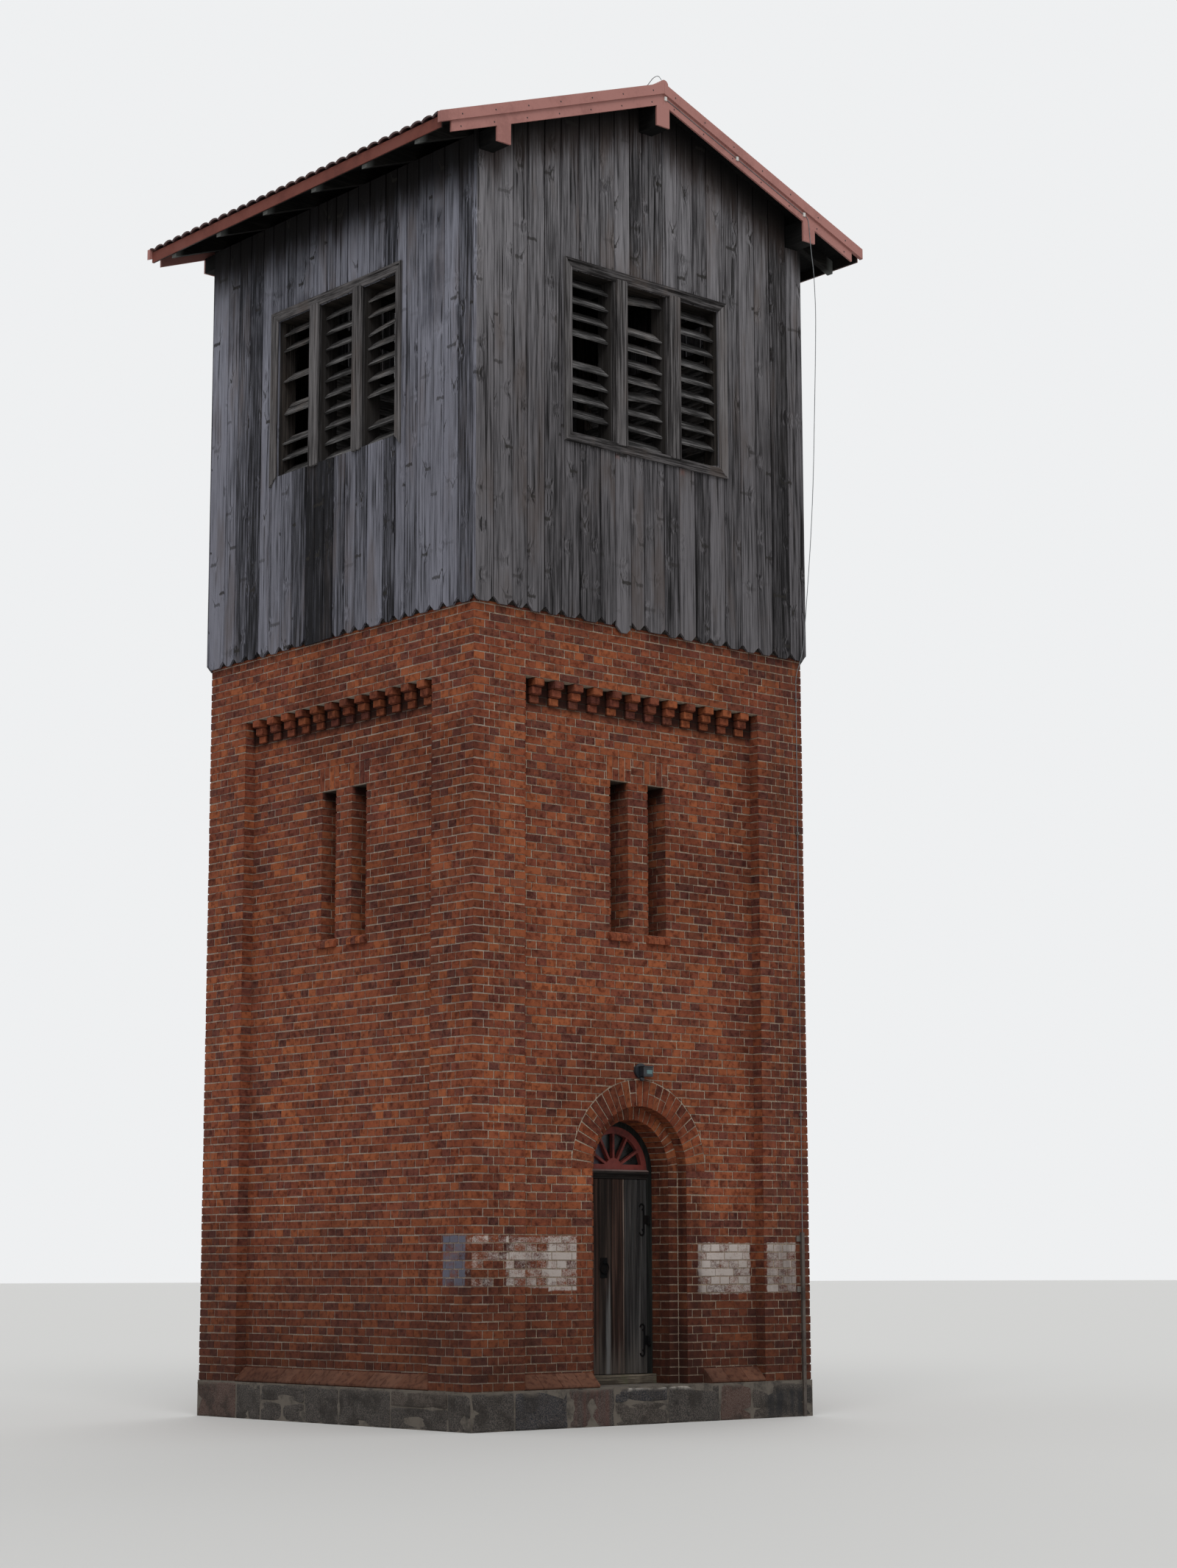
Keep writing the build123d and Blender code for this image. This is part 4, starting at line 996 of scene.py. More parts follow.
def rising_damp(tree, color, damp, height, amount):
    """Darkens what lies near the ground, in ragged tongues."""
    place = place_of(tree)
    ragged = parts_of(place)[2] + cloud(place, 1.7, 5.0) * -1.4
    share = put(tree, "ShaderNodeMapRange", {"Value": ragged, "From Min": -0.4, "From Max": height,
                "To Min": amount, "To Max": 0.0}, "Result")
    return {"Color": mix(share, color, damp)}


def box_distance(place, middle, reach):
    """How far a place lies outside a box; below nought inside it."""
    off = vector_maths("ABSOLUTE", vector_maths("SUBTRACT", place, middle))
    x, y, z = parts_of(vector_maths("SUBTRACT", off, reach))
    return maths("MAXIMUM", x, maths("MAXIMUM", y, z))


def painted_patch(tree, color, paint, middle, reach, cover, ragged, kept):
    """Old paint inside a box: some bricks have lost more of it than others."""
    edge = box_distance(place_of(tree), middle, reach) + ragged
    share = ramp(edge, 0.034, 0.018) * ramp(cover + kept, 1.42, 2.00, 0.0, 0.92)
    return {"Color": mix(share, color, paint)}


def running_stain(tree, color, paint, middle, reach, cover, soft, broad, streak):
    """A stain with soft edges that runs down in streaks."""
    edge = box_distance(place_of(tree), middle, reach) / soft + broad
    share = ramp(edge, 1.1, 0.1) * streak * cover
    return {"Color": mix(share, color, paint)}


# Shades of bricks and stones, from one end of their band to the other
RED_BRICKS = ((0.0, (104, 54, 40)), (0.16, (124, 66, 44)), (0.32, (92, 50, 40)), (0.46, (134, 74, 46)),
              (0.60, (102, 54, 44)), (0.74, (78, 46, 42)), (0.88, (142, 80, 50)), (1.0, (112, 60, 46)))
ARCH_BRICKS = ((0.0, (98, 50, 36)), (0.3, (122, 64, 41)), (0.6, (80, 41, 34)), (0.85, (128, 73, 46)))
SILL_BRICKS = ((0.0, (142, 100, 80)), (0.4, (134, 90, 70)), (0.75, (150, 108, 88)))
STONES = ((0.0, (54, 50, 46)), (0.25, (68, 50, 44)), (0.45, (47, 45, 43)), (0.68, (35, 37, 41)),
          (0.8, (57, 51, 46)))
DOOR_TINTS = ((0.0, (44, 28, 22)), (0.10, (38, 29, 25)), (0.30, (34, 35, 36)), (0.60, (44, 45, 46)),
              (0.90, (104, 90, 82)))

# Old paint low on the walls: middle, reach, colour and cover
WHITE, BLUE = rgb(192, 183, 177), rgb(98, 102, 117)
PIER = (HALF + PANEL_HALF) / 2
OLD_PAINT = (
    ((-2.06, -HALF, 1.59), (0.22, 0.12, 0.235), WHITE, 0.20),
    ((-1.735, -HALF, 1.59), (0.12, 0.12, 0.235), WHITE, 0.52),
    ((-1.38, -PANEL_FACE, 1.58), (0.20, 0.10, 0.24), WHITE, 0.50),
    ((-1.03, -PANEL_FACE, 1.57), (0.18, 0.20, 0.26), WHITE, 0.62),
    ((-0.97, -PANEL_FACE, 1.22), (0.07, 0.20, 0.12), WHITE, 0.10),
    ((1.165, -PANEL_FACE, 1.515), (0.37, 0.20, 0.255), WHITE, 0.64),
    ((PIER - 0.08, -HALF, 1.525), (0.21, 0.12, 0.25), WHITE, 0.64),
    ((-HALF, -2.016, 1.595), (0.12, 0.17, 0.24), BLUE, 0.66),
)

# Soot, damp and painted shade on the bricks, stains on the boards and the plinth: middle, reach, colour,
# cover, softness
SOOT_AND_PAINTED_SHADE = (
    # Painted shade darkening the right pier
    ((2.05, -HALF, 4.6), (0.35, 0.20, 3.6), (48, 30, 28), 0.60, 0.45),
    ((0.20, -PANEL_FACE, 7.95), (2.3, 0.4, 0.15), (58, 40, 36), 0.35, 0.45),
    # Painted shade in the right reveal of the doorway
    ((0.66, -1.95, 1.35), (0.22, 0.28, 1.3), (44, 20, 16), 0.80, 0.25),
)
BOARD_STAINS = (
    ((-CLAD_FACE, -1.68, 11.6), (0.10, 0.18, 0.6), (34, 35, 43), 0.75, 0.30),
    ((-CLAD_FACE, 1.20, 12.2), (0.10, 0.80, 0.7), (34, 35, 42), 0.70, 0.45),
    ((-0.42, -CLAD_FACE, 9.80), (0.03, 0.10, 0.03), (132, 62, 38), 0.75, 0.07),
    ((0.50, -CLAD_FACE, 9.80), (0.03, 0.10, 0.03), (132, 62, 38), 0.75, 0.07),
    ((1.45, -CLAD_FACE, 11.6), (0.75, 0.10, 1.6), (52, 47, 45), 0.22, 0.45),
)
PLINTH_STAINS = (
    ((0.25, -2.29, 0.37), (0.55, 0.10, 0.035), (172, 166, 158), 0.90, 0.06),
    ((1.95, -2.29, 0.15), (0.34, 0.10, 0.16), (28, 30, 33), 0.75, 0.12),
    ((-0.80, -2.29, 0.16), (0.28, 0.10, 0.20), (86, 56, 50), 0.45, 0.06),
)


def new_finish(name, rough, metal=0.0, shine=0.5):
    """A material with its shader; constants are set on the shader's own sockets."""
    finish = bpy.data.materials.new(name)
    finish.use_nodes = True
    inputs = finish.node_tree.nodes["Principled BSDF"].inputs
    inputs["Roughness"].default_value = rough
    inputs["Metallic"].default_value = metal
    inputs["Specular IOR Level"].default_value = shine
    return finish


def coat(finish, colour, bump=None, rough=None):
    """Feeds the shader its colour, its bump as height, strength and distance, and its roughness."""
    tree = finish.node_tree
    fed = {"Base Color": colour}
    if bump:
        given = dict(zip(("Height", "Strength", "Distance"), bump))
        fed["Normal"] = put(tree, "ShaderNodeBump", given, "Normal")
    if rough:
        fed["Roughness"] = rough
    for key, value in fed.items():
        tree.links.new(value.socket, tree.nodes["Principled BSDF"].inputs[key])
    return finish


def limewash(colour, each, cover=0.0):
    """The old paint low on the walls; each is a brick's own share of it."""
    tree = colour.tree
    place = place_of(tree)
    ragged = cloud(place, 16.0, 4.0) * 0.05
    streak = cloud(place_of(tree, (7, 7, 15)), 1.0, 5.0, 0.65)
    kept = streak * 1.1 + cloud(place, 75.0, 3.0, 0.6) * 0.9 + each * 0.45
    for middle, reach, paint, share in OLD_PAINT:
        colour = use_group(tree, "patch", Color=colour, Paint=paint, Middle=middle, Reach=reach,
                           Cover=share + cover, Ragged=ragged, Kept=kept)
    return colour


def add_stains(colour, stains):
    """Lays these stains over a colour; they share their streaks."""
    tree = colour.tree
    streak = ramp(cloud(place_of(tree, (11, 11, 0.5)), 1.0, 4.0, 0.6), 0.36, 0.60, 0.25, 1.0)
    broad = cloud(place_of(tree), 2.2, 4.0, 0.6) * 1.5
    for middle, reach, paint, cover, soft in stains:
        colour = use_group(tree, "stain", Color=colour, Paint=rgb(*paint), Middle=middle, Reach=reach,
                           Cover=cover, Soft=soft, Broad=broad, Streak=streak)
    return colour


def painted_shade_in_hollows(colour):
    """Painted shade between the corbels of the frieze and under the heads of the slits."""
    reach, z = around(colour.tree)
    at_frieze = ramp(reach, PANEL_FACE + 0.050, PANEL_FACE + 0.010)
    frieze = at_frieze * ramp(z, FRIEZE_TOP - 0.33, FRIEZE_TOP - 0.20, 0.0, 0.90)
    at_slit = ramp(reach, PANEL_FACE - 0.010, PANEL_FACE - 0.060)
    head = at_slit * ramp(z, SLIT_TOP - 0.25, SLIT_TOP - 0.01, 0.0, 0.85)
    return mix(maths("MAXIMUM", frieze, head), colour, rgb(30, 17, 15))


def brick_finish(name, shades, painted=False):
    """Fired clay: a shade for every brick, sandy skin, burnt spots, soot and damp, with painted shade in the
    hollows, down the right pier and in the doorway.
    """
    finish = new_finish(name, 0.92, shine=0.12)
    tree = finish.node_tree
    place = place_of(tree)
    tone = tone_of(tree)
    sand = cloud(place, 85.0, 4.0, 0.75)
    blotch = cloud(vector_maths("ADD", place, tone * 40.0), 15.0, 5.0, 0.65)
    weather = cloud(place, 0.6, 6.0, 0.65)
    colour = tone_band(tone, shades)
    colour = laid(colour, mix(0.5, colour, rgb(182, 112, 72)), sand, 0.42, 0.72, 0.42)
    colour = laid(colour, tinted(colour, rgb(152, 128, 128)), blotch, 0.46, 0.66, 0.75)
    colour = laid(colour, mix(0.45, colour, rgb(176, 98, 58)), blotch, 0.44, 0.30, 0.5)
    colour = laid(colour, tinted(colour, rgb(178, 170, 176)), weather, 0.46, 0.64, 0.6)
    # Painted shade between the corbels and under the heads of the slits
    colour = painted_shade_in_hollows(colour)
    if painted:
        colour = limewash(colour, maths("FRACT", tone * 9.7))
    # Soot, with painted shade down the right pier and in the doorway's right reveal
    colour = add_stains(colour, SOOT_AND_PAINTED_SHADE)
    colour = use_group(tree, "damp", Color=colour, Damp=rgb(40, 24, 19), Height=1.7, Amount=0.75)
    return coat(finish, colour, (sand, 0.5, 0.003))


def mortar_finish(brick):
    """Lime mortar outside, and plain brickwork on the faces inside the tower."""
    finish = new_finish("lime_mortar", 0.95, shine=0.12)
    tree = finish.node_tree
    place = place_of(tree)
    x, y, z = parts_of(place)
    lime = (*brick.mortar, 1)
    dull = tuple((a + b) / 2 for a, b in zip(lime, rgb(84, 62, 50)))
    fine = cloud(place, 55.0, 5.0, 0.7)
    colour = laid(dull, lime, fine, 0.40, 0.55)
    colour = laid(colour, rgb(112, 88, 74), cloud(place, 2.1, 4.0, 0.6), 0.48, 0.66, 0.55)
    colour = laid(colour, rgb(176, 166, 158), x, -PANEL_FACE + 0.12, -PANEL_FACE + 0.02, 0.35)
    # Painted shade between the corbels and under the heads of the slits
    colour = painted_shade_in_hollows(colour)
    colour = limewash(colour, 0.0, -0.85)
    colour = use_group(tree, "damp", Color=colour, Damp=rgb(78, 60, 50), Height=1.6, Amount=0.55)
    flat = put(tree, "ShaderNodeCombineXYZ", {"X": x + y, "Y": z})
    plain = put(tree, "ShaderNodeTexBrick", {"Vector": flat, "Color1": rgb(112, 68, 54),
                "Color2": rgb(84, 48, 40), "Mortar": rgb(120, 104, 94), "Scale": 1.0,
                "Mortar Size": brick.joint / 2, "Brick Width": 2 * brick.header, "Row Height": brick.course})
    colour = laid(colour, plain, around(tree)[0], WALL_BACK + 0.012, WALL_BACK + 0.008)
    return coat(finish, colour, (fine, 0.6, 0.004))


def stone_finish():
    """Split granite in greys, pinks and blues, with cement smears."""
    finish = new_finish("fieldstone", 0.9, shine=0.2)
    tree = finish.node_tree
    place = place_of(tree)
    crystal = cloud(place, 90.0, 5.0, 0.75)
    broad = cloud(place, 5.0, 5.0, 0.6)
    colour = tone_band(tone_of(tree), STONES, "CONSTANT")
    colour = laid(colour, mix(0.5, colour, rgb(120, 110, 104)), crystal, 0.44, 0.60, 0.75)
    colour = laid(colour, mix(0.6, colour, rgb(18, 17, 17)), crystal, 0.46, 0.34, 0.6)
    colour = laid(colour, rgb(36, 32, 29), broad, 0.44, 0.66, 0.65)
    colour = laid(colour, rgb(98, 91, 83), parts_of(place)[2] + broad * 0.22, 0.43, 0.51, 0.7)
    return coat(finish, add_stains(colour, PLINTH_STAINS), (crystal, 0.6, 0.006))


def timber_finish(name, light, dark, warm, stretch, patch=(2.5, 2.5, 0.6), knotty=False, aged_and_shaded=None):
    """Weathered timber with its grain along one way; the last argument, where given, adds weathering and, for
    some finishes, painted shade and painted light.
    """
    finish = new_finish(name, 0.88, shine=0.15)
    tree = finish.node_tree
    tone = tone_of(tree)
    inputs = {"Light": rgb(*light), "Dark": rgb(*dark), "Warm": rgb(*warm), "Tone": tone, "Stretch": stretch,
              "Patch": patch}
    if knotty:
        inputs["Shift"] = use_group(tree, "knots", "Shift", Tone=tone)
    grain = add_node(tree, "ShaderNodeGroup", inputs, node_tree=GROUPS["grain"])
    colour, height = Varied(grain.outputs["Color"]), Varied(grain.outputs["Height"])
    if aged_and_shaded:
        colour = aged_and_shaded(colour)
    if knotty:
        colour = use_group(tree, "knots", Tone=tone, Color=colour)
    return coat(finish, colour, (height, 0.55, 0.004))


def weather_and_shade_boards(colour):
    """Browner under the roof, darker low and paler high, and streaked where water runs; painted light makes
    the left side brighter and bluer, and painted shade darkens the boards under the eaves and the verges.
    """
    tree = colour.tree
    x, _, z = parts_of(place_of(tree))
    under = RIDGE_Z - (z + abs(x) * tan(ROOF_SLOPE))
    streak = cloud(place_of(tree, (8, 8, 0.9)), 1.0, 4.0, 0.65)
    colour = laid(colour, rgb(48, 35, 29), under - streak, 0.30, -0.25, 0.75)
    colour = laid(tinted(colour, (0.76, 0.75, 0.76, 1)), tinted(colour, (1.12, 1.12, 1.13, 1)), z, 9.8, 12.4)
    # Painted light: the left side brighter and bluer
    colour = laid(colour, tinted(colour, (1.33, 1.41, 1.58, 1)), x, -CLAD_BACK + 0.002, -CLAD_BACK)
    colour = add_stains(colour, BOARD_STAINS)
    # Painted shade under the eaves and the verges, fading out below the roof line
    aside = ramp(abs(x), CLAD_BACK - 0.05, CLAD_BACK, 0.10, 0.38)
    return laid(colour, rgb(16, 15, 15), under - (aside + streak * 0.25), 0.46, -0.10, 0.94)


def shaded_slats(colour):
    """Painted shade: slats are darker and browner further in, and stay pale at the nosing."""
    return laid(colour, rgb(56, 53, 51), around(colour.tree)[0], HALF - 0.090, HALF - 0.170, 0.6)


def grey_tails(colour):
    """The ends of the rafters are bleached where rain reaches them, and stand out of the painted shade of the
    rafters further in.
    """
    x = parts_of(place_of(colour.tree))[0]
    return laid(colour, rgb(102, 104, 102), abs(x), 2.84, 2.95, 0.80)


def shaded_joinery(colour):
    """Painted shade where it lies behind the face of the boarding."""
    return laid(colour, rgb(38, 35, 33), around(colour.tree)[0], CLAD_FACE - 0.002, CLAD_FACE - 0.050, 0.80)


def aged_door(colour):
    """Brown planks, a pale one and grey ones, bleached towards the foot."""
    tree = colour.tree
    x, _, z = parts_of(place_of(tree))
    fibre = cloud(place_of(tree, (85, 85, 1.1)), 1.0, 5.0, 0.75)
    streak = cloud(place_of(tree, (26, 26, 0.8)), 1.0, 4.0, 0.6)
    foot = z + streak * -1.2
    colour = mix(0.70, colour, tone_band(tone_of(tree), DOOR_TINTS, "CONSTANT"))
    colour = laid(colour, rgb(13, 10, 9), fibre, 0.50, 0.38, 0.80)
    colour = laid(colour, tinted(colour, (2.4, 2.3, 2.3, 1)), fibre, 0.54, 0.66, 0.65)
    dark, pale = tinted(colour, (0.55, 0.53, 0.53, 1)), tinted(colour, (1.55, 1.55, 1.53, 1))
    colour = laid(dark, pale, streak, 0.40, 0.60)
    colour = laid(colour, rgb(84, 79, 74), foot, 0.30, -0.10, 0.40)
    bare = ramp(abs(x + 0.080), 0.042, 0.020) * ramp(foot, 0.80, 0.45) * ramp(fibre, 0.36, 0.56, 0.0, 0.65)
    return mix(bare, colour, rgb(104, 104, 104))


def moulded_transom(colour):
    """A paler upper edge, worn in places, and two dark lines of painted shade along its grooves."""
    tree = colour.tree
    z = parts_of(place_of(tree))[2]
    worn = cloud(place_of(tree, (14, 4, 4)), 1.0, 3.0)
    edge = ramp(z, SPRING + 0.002, SPRING + 0.010) * ramp(worn, 0.30, 0.50, 0.3, 0.9)
    colour = mix(edge, colour, rgb(122, 104, 100))
    # Painted shade: two dark lines along the grooves
    for drop in (0.022, 0.052):
        colour = laid(colour, rgb(16, 14, 13), abs(z - (SPRING - drop)), 0.011, 0.004, 0.85)
    return colour


def painted_finish(name, paint, worn, rough=0.55, scale=6.0, metal=0.0, shine=0.5, bare=None):
    """Paint that has chalked and worn through in places; nearer the middle than bare is dark wood."""
    finish = new_finish(name, rough, metal, shine)
    place = place_of(finish.node_tree)
    broad = cloud(place, scale, 5.0, 0.65)
    fine = cloud(place, 40.0, 4.0, 0.7)
    colour = laid(rgb(*paint), rgb(*worn), broad * 0.7 + fine * 0.3, 0.46, 0.66)
    if bare:
        colour = laid(colour, rgb(30, 27, 25), abs(parts_of(place)[0]), bare, bare - 0.004)
    return coat(finish, colour, (fine, 0.25, 0.002),
                ramp(broad, 0.3, 0.7, rough - 0.08, min(1.0, rough + 0.18)))


def clip_finish():
    """Bright on the roof, dull down the wall."""
    finish = new_finish("conductor_clip", 0.5)
    z = parts_of(place_of(finish.node_tree))[2]
    return coat(finish, laid(rgb(84, 78, 72), rgb(200, 198, 194), z, WALL_TOP, WALL_TOP + 0.3))


def glass_finish():
    """Dark panes; the ones on the left carry a painted reflection of something pale."""
    finish = new_finish("window_glass", 0.25, shine=0.3)
    place = place_of(finish.node_tree)
    dust_and_reflection = cloud(place, 9.0, 5.0, 0.7)
    # Painted reflection of something pale on the left panes
    colour = laid(rgb(13, 16, 15), rgb(74, 66, 80), parts_of(place)[0] + dust_and_reflection * 0.25, 0.10, -0.16)
    return coat(finish, colour, rough=ramp(dust_and_reflection, 0.3, 0.7, 0.15, 0.5))


FINISHES = {}


def make_finishes(brick):
    """Makes the shared groups, and then every finish."""
    GROUPS.update(
        grain=new_group("Timber grain", timber_grain, GRAIN_INPUTS),
        knots=new_group("Knots", knots_in_boards, KNOT_INPUTS),
        damp=new_group("Rising damp", rising_damp, DAMP_INPUTS),
        patch=new_group("Painted patch", painted_patch, {**PATCH_INPUTS, "Ragged": 0.0, "Kept": 1.0}),
        stain=new_group("Running stain", running_stain, {**PATCH_INPUTS, "Soft": 0.45, "Broad": 0.75,
                                                         "Streak": 1.0}),
    )
    upright, along_x, along_y, level = (75, 75, 1.7), (2.2, 60, 60), (60, 2.2, 60), (3, 3, 60)
    FINISHES.update(
        brick=brick_finish("red_brick", RED_BRICKS, painted=True),
        arch=brick_finish("arch_brick", ARCH_BRICKS),
        moulded=brick_finish("moulded_brick", SILL_BRICKS),
        mortar=mortar_finish(brick),
        stone=stone_finish(),
        slab=painted_finish("stone_floor", (86, 79, 71), (48, 44, 40), 0.9),
        boards=timber_finish("weathered_boards", (116, 114, 117), (22, 21, 22), (78, 68, 62), upright,
                             knotty=True, aged_and_shaded=weather_and_shade_boards),
        frame_wood=timber_finish("frame_timber", (84, 78, 74), (28, 25, 23), (60, 50, 44), upright),
        frame_x=timber_finish("frame_timber_x", (66, 58, 52), (24, 21, 19), (46, 38, 33), along_x),
        # Purlins and roof boards are painted near black: painted shade under the roof
        frame_y=timber_finish("frame_timber_y_shaded", (23, 22, 21), (8, 8, 8), (18, 16, 14), along_y),
        casing=timber_finish("casing_wood", (112, 109, 110), (26, 24, 24), (70, 60, 54), upright,
                             aged_and_shaded=shaded_joinery),
        casing_level=timber_finish("casing_wood_level", (104, 101, 102), (26, 24, 24), (70, 60, 54), level),
        louvre=timber_finish("louvre_wood", (146, 144, 144), (42, 41, 41), (84, 76, 70), level,
                             aged_and_shaded=shaded_slats),
        door=timber_finish("door_wood", (62, 55, 52), (18, 14, 12), (44, 30, 24), (60, 60, 1.0),
                           aged_and_shaded=aged_door),
        door_frame=timber_finish("door_frame_wood", (46, 48, 45), (15, 16, 15), (32, 30, 27), upright),
        transom=timber_finish("transom_wood", (66, 60, 57), (24, 20, 18), (48, 38, 34), level,
                              aged_and_shaded=moulded_transom),
        threshold=timber_finish("threshold_wood", (128, 118, 104), (54, 48, 41), (66, 68, 50), along_x,
                                (5, 5, 5)),
        # Rafters painted dark: painted shade under the roof; their ends are paler
        rafter=timber_finish("rafter_wood_shaded", (40, 38, 36), (14, 13, 12), (30, 27, 24), along_x,
                             aged_and_shaded=grey_tails),
        fan=painted_finish("fanlight_paint", (104, 36, 28), (72, 28, 24), 0.7),
        barge=painted_finish("barge_paint", (160, 111, 104), (142, 97, 91), 0.5, 2.0, shine=0.3),
        # The fascia paint is a darker copy of the barge paint: painted shade under the eaves; its inner faces
        # are bare dark wood
        fascia=painted_finish("fascia_paint_shaded", (108, 60, 51), (92, 52, 46), 0.6, 2.0, shine=0.15,
                              bare=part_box("eave_fascias")[1].x - 0.010),
        sheet=painted_finish("roof_sheet", (84, 58, 57), (60, 46, 50), 0.38, 1.3),
        iron=painted_finish("wrought_iron", (7, 7, 8), (17, 13, 12), 0.8, 14.0, shine=0.08),
        lamp=painted_finish("lamp_black", (30, 33, 38), (44, 46, 50), 0.4),
        lens=painted_finish("lamp_lens", (74, 104, 106), (96, 108, 112), 0.15, 20.0),
        screw=painted_finish("screw_zinc", (46, 36, 36), (70, 62, 62), 0.4, 30.0, 0.5),
        wire=painted_finish("conductor_wire", (120, 122, 124), (92, 94, 96), 0.45, 8.0, 0.7),
        guard=painted_finish("conductor_guard", (84, 76, 70), (60, 52, 48), 0.55, 4.0, 0.5),
        clip=clip_finish(),
        glass=glass_finish(),
    )


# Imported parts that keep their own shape, with the finish each one takes
KEPT = {
    "mortar": ("front_wall_beside_door", "front_wall_over_door", "right_wall", "back_wall", "left_wall",
               "corner_piers", "door_arch", "inner_order"),
    "slab": ("ground_floor", "plinth"),
    "door_frame": ("door_frame",),
    "threshold": ("threshold",),
    "transom": ("transom",),
    "frame_x": ("floor_joists", "belfry_floor", "window_rails", "gable_beams",
                "belfry_sill_beams", "cladding_rails"),
    "frame_wood": ("belfry_posts", "ridge_posts"),
    "casing": ("mullions",),
    "frame_y": ("purlins", "roof_boards"),
    "rafter": ("rafters",),
    "fan": ("fanlight",),
    "glass": ("fanlight_glass",),
    "iron": ("door_hinges", "door_pins", "door_handle"),
    "lamp": ("wall_lamp",),
    "barge": ("barge_boards", "lower_barge_boards", "purlin_caps", "ridge_cap"),
    "fascia": ("eave_fascias",),
    "wire": ("lightning_conductor",),
    "clip": ("conductor_clips",),
    "guard": ("conductor_guard",),
    "louvre": ("front_louvres", "right_louvres", "back_louvres", "left_louvres"),
}


# Operators, one for each piece or group of like pieces

class TOWER_OT_finishes(bpy.types.Operator):
    """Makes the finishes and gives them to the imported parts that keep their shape"""
    bl_idname = "tower.finishes"
    bl_label = "Finishes"

    def execute(self, context):
        make_finishes(context.scene.tower_brickwork)
        for finish, nodes in KEPT.items():
            for name in nodes:
                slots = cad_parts[name].data.materials
                slots.clear()
                slots.append(FINISHES[finish])
        return {"FINISHED"}


class TOWER_OT_brick_walls(bpy.types.Operator):
    """Lays the face bricks of the four sides"""
    bl_idname = "tower.brick_walls"
    bl_label = "Brick walls"

    def execute(self, context):
        for side, name in SIDES.items():
            bm = wall_bricks(side, context.scene.tower_brickwork, random.Random(11 + side))
            add_piece(name + "_brickwork", bm, ("brick",))
        return {"FINISHED"}


class TOWER_OT_arch(bpy.types.Operator):
    """Lays the two orders of the door arch and their jambs"""
    bl_idname = "tower.arch"
    bl_label = "Door arch"

    def execute(self, context):
        brick = context.scene.tower_brickwork
        rng = random.Random(5)
        bm = bmesh.new()
        ring_face(bm, brick, rng, ARCH_R, RING_OUT, PANEL_FACE, OUTER_RING, 0.3)
        ring_soffit(bm, brick, rng, ARCH_R, INNER_FACE, PANEL_FACE, OUTER_RING)
        ring_face(bm, brick, rng, INNER_R, ARCH_R, INNER_FACE, INNER_RING, 0.0)
        ring_soffit(bm, brick, rng, INNER_R, FRAME_FACE, INNER_FACE, INNER_RING)
        door_jambs(bm, brick, rng)
        add_piece("arch_bricks", bm, ("arch",))
        return {"FINISHED"}


class TOWER_OT_mouldings(bpy.types.Operator):
    """Sets the corbel frieze, the sills of the panels and the sills of the slits"""
    bl_idname = "tower.mouldings"
    bl_label = "Frieze and sills"

    def execute(self, context):
        brick = context.scene.tower_brickwork
        rng = random.Random(7)
        frieze = on_sides(lambda side: corbel_mesh(brick, rng))
        add_piece("frieze_bricks", frieze, ("brick",), replaces=("corbel_friezes",))
        panel_sills = on_sides(lambda side: panel_sill_mesh(side, brick, rng))
        set_tone(panel_sills, rng)
        add_piece("panel_sill_bricks", panel_sills, ("moulded",), replaces=("panel_sills",))
        slit_sills = on_sides(lambda side: slit_sill_mesh())
        set_tone(slit_sills, rng)
        add_piece("slit_sill_bricks", slit_sills, ("brick",), replaces=("slit_sills",))
        return {"FINISHED"}


class TOWER_OT_plinth(bpy.types.Operator):
    """Sets the fieldstones of the plinth"""
    bl_idname = "tower.plinth"
    bl_label = "Plinth"

    def execute(self, context):
        rng = random.Random(3)
        add_piece("plinth_stones", on_sides(lambda side: plinth_mesh(rng)), ("stone",))
        return {"FINISHED"}


class TOWER_OT_boarding(bpy.types.Operator):
    """Parts the boarding of the belfry into its boards"""
    bl_idname = "tower.boarding"
    bl_label = "Boarding"

    def execute(self, context):
        for side, name in SIDES.items():
            node = name + "_cladding"
            bm = boarding_mesh(node, side, random.Random(24 + side))
            add_piece(name + "_boards", bm, ("boards",), replaces=(node,))
        return {"FINISHED"}


class TOWER_OT_casings(bpy.types.Operator):
    """Puts the moulded casings round the louvre windows"""
    bl_idname = "tower.casings"
    bl_label = "Window casings"

    def execute(self, context):
        bm = on_sides(casing_mesh)
        set_tone(bm, random.Random(31))
        add_piece("casing_mouldings", bm, ("casing", "casing_level"),
                  replaces=("window_casings",))
        return {"FINISHED"}


class TOWER_OT_mullion_covers(bpy.types.Operator):
    """Fits the cover boards on the mullions"""
    bl_idname = "tower.mullion_covers"
    bl_label = "Mullion covers"

    def execute(self, context):
        bm = on_sides(lambda side: mullion_boards())
        bmesh.ops.recalc_face_normals(bm, faces=bm.faces)
        set_tone(bm, random.Random(41))
        add_piece("mullion_covers", bm, ("casing",))
        return {"FINISHED"}


class TOWER_OT_door(bpy.types.Operator):
    """Makes the planked leaf of the door"""
    bl_idname = "tower.door"
    bl_label = "Door"

    def execute(self, context):
        add_piece("door_planks", door_mesh(), ("door",), DOOR, replaces=("door_leaf",))
        return {"FINISHED"}


class TOWER_OT_lamp(bpy.types.Operator):
    """Finishes the lamp over the arch"""
    bl_idname = "tower.lamp"
    bl_label = "Lamp"

    def execute(self, context):
        lens = lamp_blocks(((0.045, -0.012, -0.002, 0.006, 0.026, 0.066, 0.001),))
        add_piece("lamp_glass", lens, ("lens",))
        add_piece("lamp_fittings", lamp_trim(), ("lamp",))
        return {"FINISHED"}


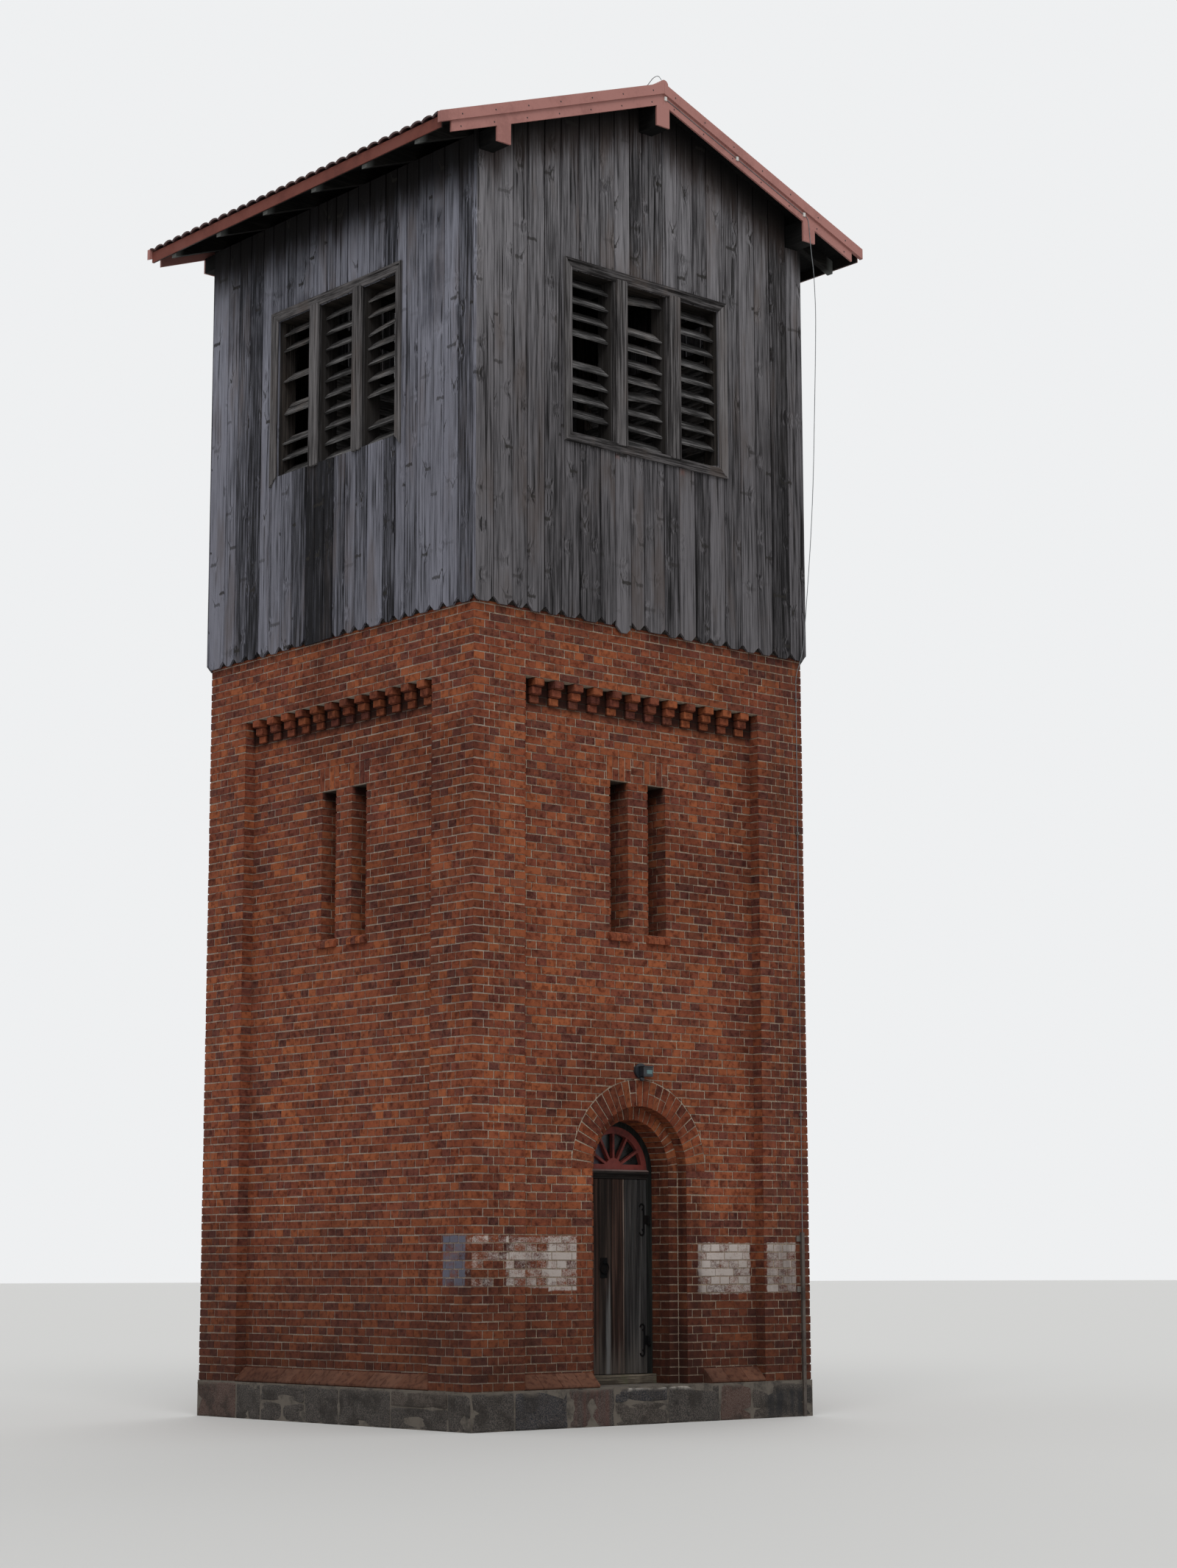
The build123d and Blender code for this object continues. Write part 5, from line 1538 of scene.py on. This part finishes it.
class TOWER_OT_roof(bpy.types.Operator):
    """Lays the tile-shaped roof sheets"""
    bl_idname = "tower.roof"
    bl_label = "Roof sheets"

    def execute(self, context):
        bm = bmesh.new()
        for end in (-1, 1):
            merge_into(bm, roof_sheet_mesh(end))
        add_piece("tile_sheets", bm, ("sheet",), replaces=("roof_sheets",))
        return {"FINISHED"}


class TOWER_OT_screws(bpy.types.Operator):
    """Drives the screws of the barge boards"""
    bl_idname = "tower.screws"
    bl_label = "Screws"

    def execute(self, context):
        bm = on_sides(lambda side: screw_mesh(), (FRONT, BACK))
        add_piece("barge_screws", bm, ("screw",))
        return {"FINISHED"}


class TOWER_OT_stage(bpy.types.Operator):
    """Puts up the pale studio, its soft light and the camera"""
    bl_idname = "tower.stage"
    bl_label = "Stage"

    def execute(self, context):
        stage = context.scene.tower_stage
        make_floor(stage)
        make_light(stage)
        make_camera()
        context.scene.view_settings.view_transform = "Standard"
        return {"FINISHED"}


def make_floor(stage):
    """A round floor, wide enough to reach the horizon."""
    bm = bmesh.new()
    bmesh.ops.create_circle(bm, cap_ends=True, segments=96, radius=260)
    floor_piece = add_object("floor", bm)
    finish = new_finish("studio_floor", 0.9)
    finish.node_tree.nodes["Principled BSDF"].inputs["Base Color"].default_value = (*stage.floor, 1)
    floor_piece.data.materials.append(finish)


def make_light(stage):
    """White light from all round, a pale backdrop where it is seen, and two soft lamps."""
    world = bpy.data.worlds.new("studio")
    bpy.context.scene.world = world
    world.use_nodes = True
    tree = world.node_tree
    back = tree.nodes["Background"]
    back.inputs["Color"].default_value = (1, 1, 1, 1)
    back.inputs["Strength"].default_value = stage.daylight
    rays = add_node(tree, "ShaderNodeLightPath")
    camera, glossy, through = (Varied(rays.outputs["Is " + kind + " Ray"])
                               for kind in ("Camera", "Glossy", "Transmission"))
    seen = maths("MAXIMUM", camera, maths("MAXIMUM", glossy, through))
    view = put(tree, "ShaderNodeBackground", {"Color": (*stage.backdrop, 1), "Strength": 1.0})
    both = put(tree, "ShaderNodeMixShader", {0: seen, 1: Varied(back.outputs[0]), 2: view})
    tree.links.new(both.socket, tree.nodes["World Output"].inputs["Surface"])
    lamps = (("key", stage.key, (-0.70, -0.85, 1.15)), ("fill", stage.fill, (0.85, 0.70, 1.0)))
    for name, strength, way in lamps:
        lamp = bpy.data.lights.new(name, "SUN")
        lamp.energy = strength
        lamp.angle = radians(38)
        holder = bpy.data.objects.new(name, lamp)
        holder.rotation_euler = Vector(way).to_track_quat("Z", "Y").to_euler()
        bpy.context.scene.collection.objects.link(holder)


# The camera stands at the photograph's place; the picture is 1600 by 2131 pixels
IMAGE_H = 2131
FOCAL_PX = 3920.73
SENSOR = 36
EYE = (-19.7394, -23.7851, 1.5475)
YAW = radians(41.388)
PITCH = radians(9.478)
ROLL = radians(-0.163)


def make_camera():
    """The camera, turned to the tower by its yaw, pitch and roll."""
    lens = bpy.data.cameras.new("camera")
    lens.sensor_fit = "AUTO"
    lens.sensor_width = SENSOR
    lens.lens = FOCAL_PX * SENSOR / IMAGE_H
    lens.clip_end = 1000
    camera = bpy.data.objects.new("camera", lens)
    bpy.context.scene.collection.objects.link(camera)
    forward = Vector((sin(YAW) * cos(PITCH), cos(YAW) * cos(PITCH), sin(PITCH)))
    right = Vector((cos(YAW), -sin(YAW), 0))
    up = right.cross(forward)
    across = right * cos(ROLL) + up * sin(ROLL)
    upward = up * cos(ROLL) - right * sin(ROLL)
    turn = Matrix((across, upward, -forward)).transposed()
    camera.matrix_world = Matrix.Translation(EYE) @ turn.to_4x4()
    bpy.context.scene.camera = camera


class TOWER_PT_panel(bpy.types.Panel):
    """Lists the sizes and the steps that make the tower"""
    bl_label = "Bell tower"
    bl_idname = "TOWER_PT_panel"
    bl_space_type = "VIEW_3D"
    bl_region_type = "UI"
    bl_category = "Bell tower"

    def draw(self, context):
        for group in (context.scene.tower_brickwork, context.scene.tower_stage):
            box = self.layout.box()
            for name in type(group).__annotations__:
                box.prop(group, name)
        for step in STEPS:
            self.layout.operator(step.bl_idname)


STEPS = (TOWER_OT_finishes, TOWER_OT_brick_walls, TOWER_OT_arch, TOWER_OT_mouldings, TOWER_OT_plinth,
         TOWER_OT_boarding, TOWER_OT_casings, TOWER_OT_mullion_covers, TOWER_OT_door, TOWER_OT_lamp,
         TOWER_OT_roof, TOWER_OT_screws, TOWER_OT_stage)
CLASSES = (TowerBrickwork, TowerStage, *STEPS, TOWER_PT_panel)


def register():
    for kind in CLASSES:
        bpy.utils.register_class(kind)
    bpy.types.Scene.tower_brickwork = PointerProperty(type=TowerBrickwork)
    bpy.types.Scene.tower_stage = PointerProperty(type=TowerStage)


def unregister():
    del bpy.types.Scene.tower_stage
    del bpy.types.Scene.tower_brickwork
    for kind in reversed(CLASSES):
        bpy.utils.unregister_class(kind)


def main():
    register()
    for step in STEPS:
        group, name = step.bl_idname.split(".")
        getattr(getattr(bpy.ops, group), name)()


if __name__ == "__main__":
    main()
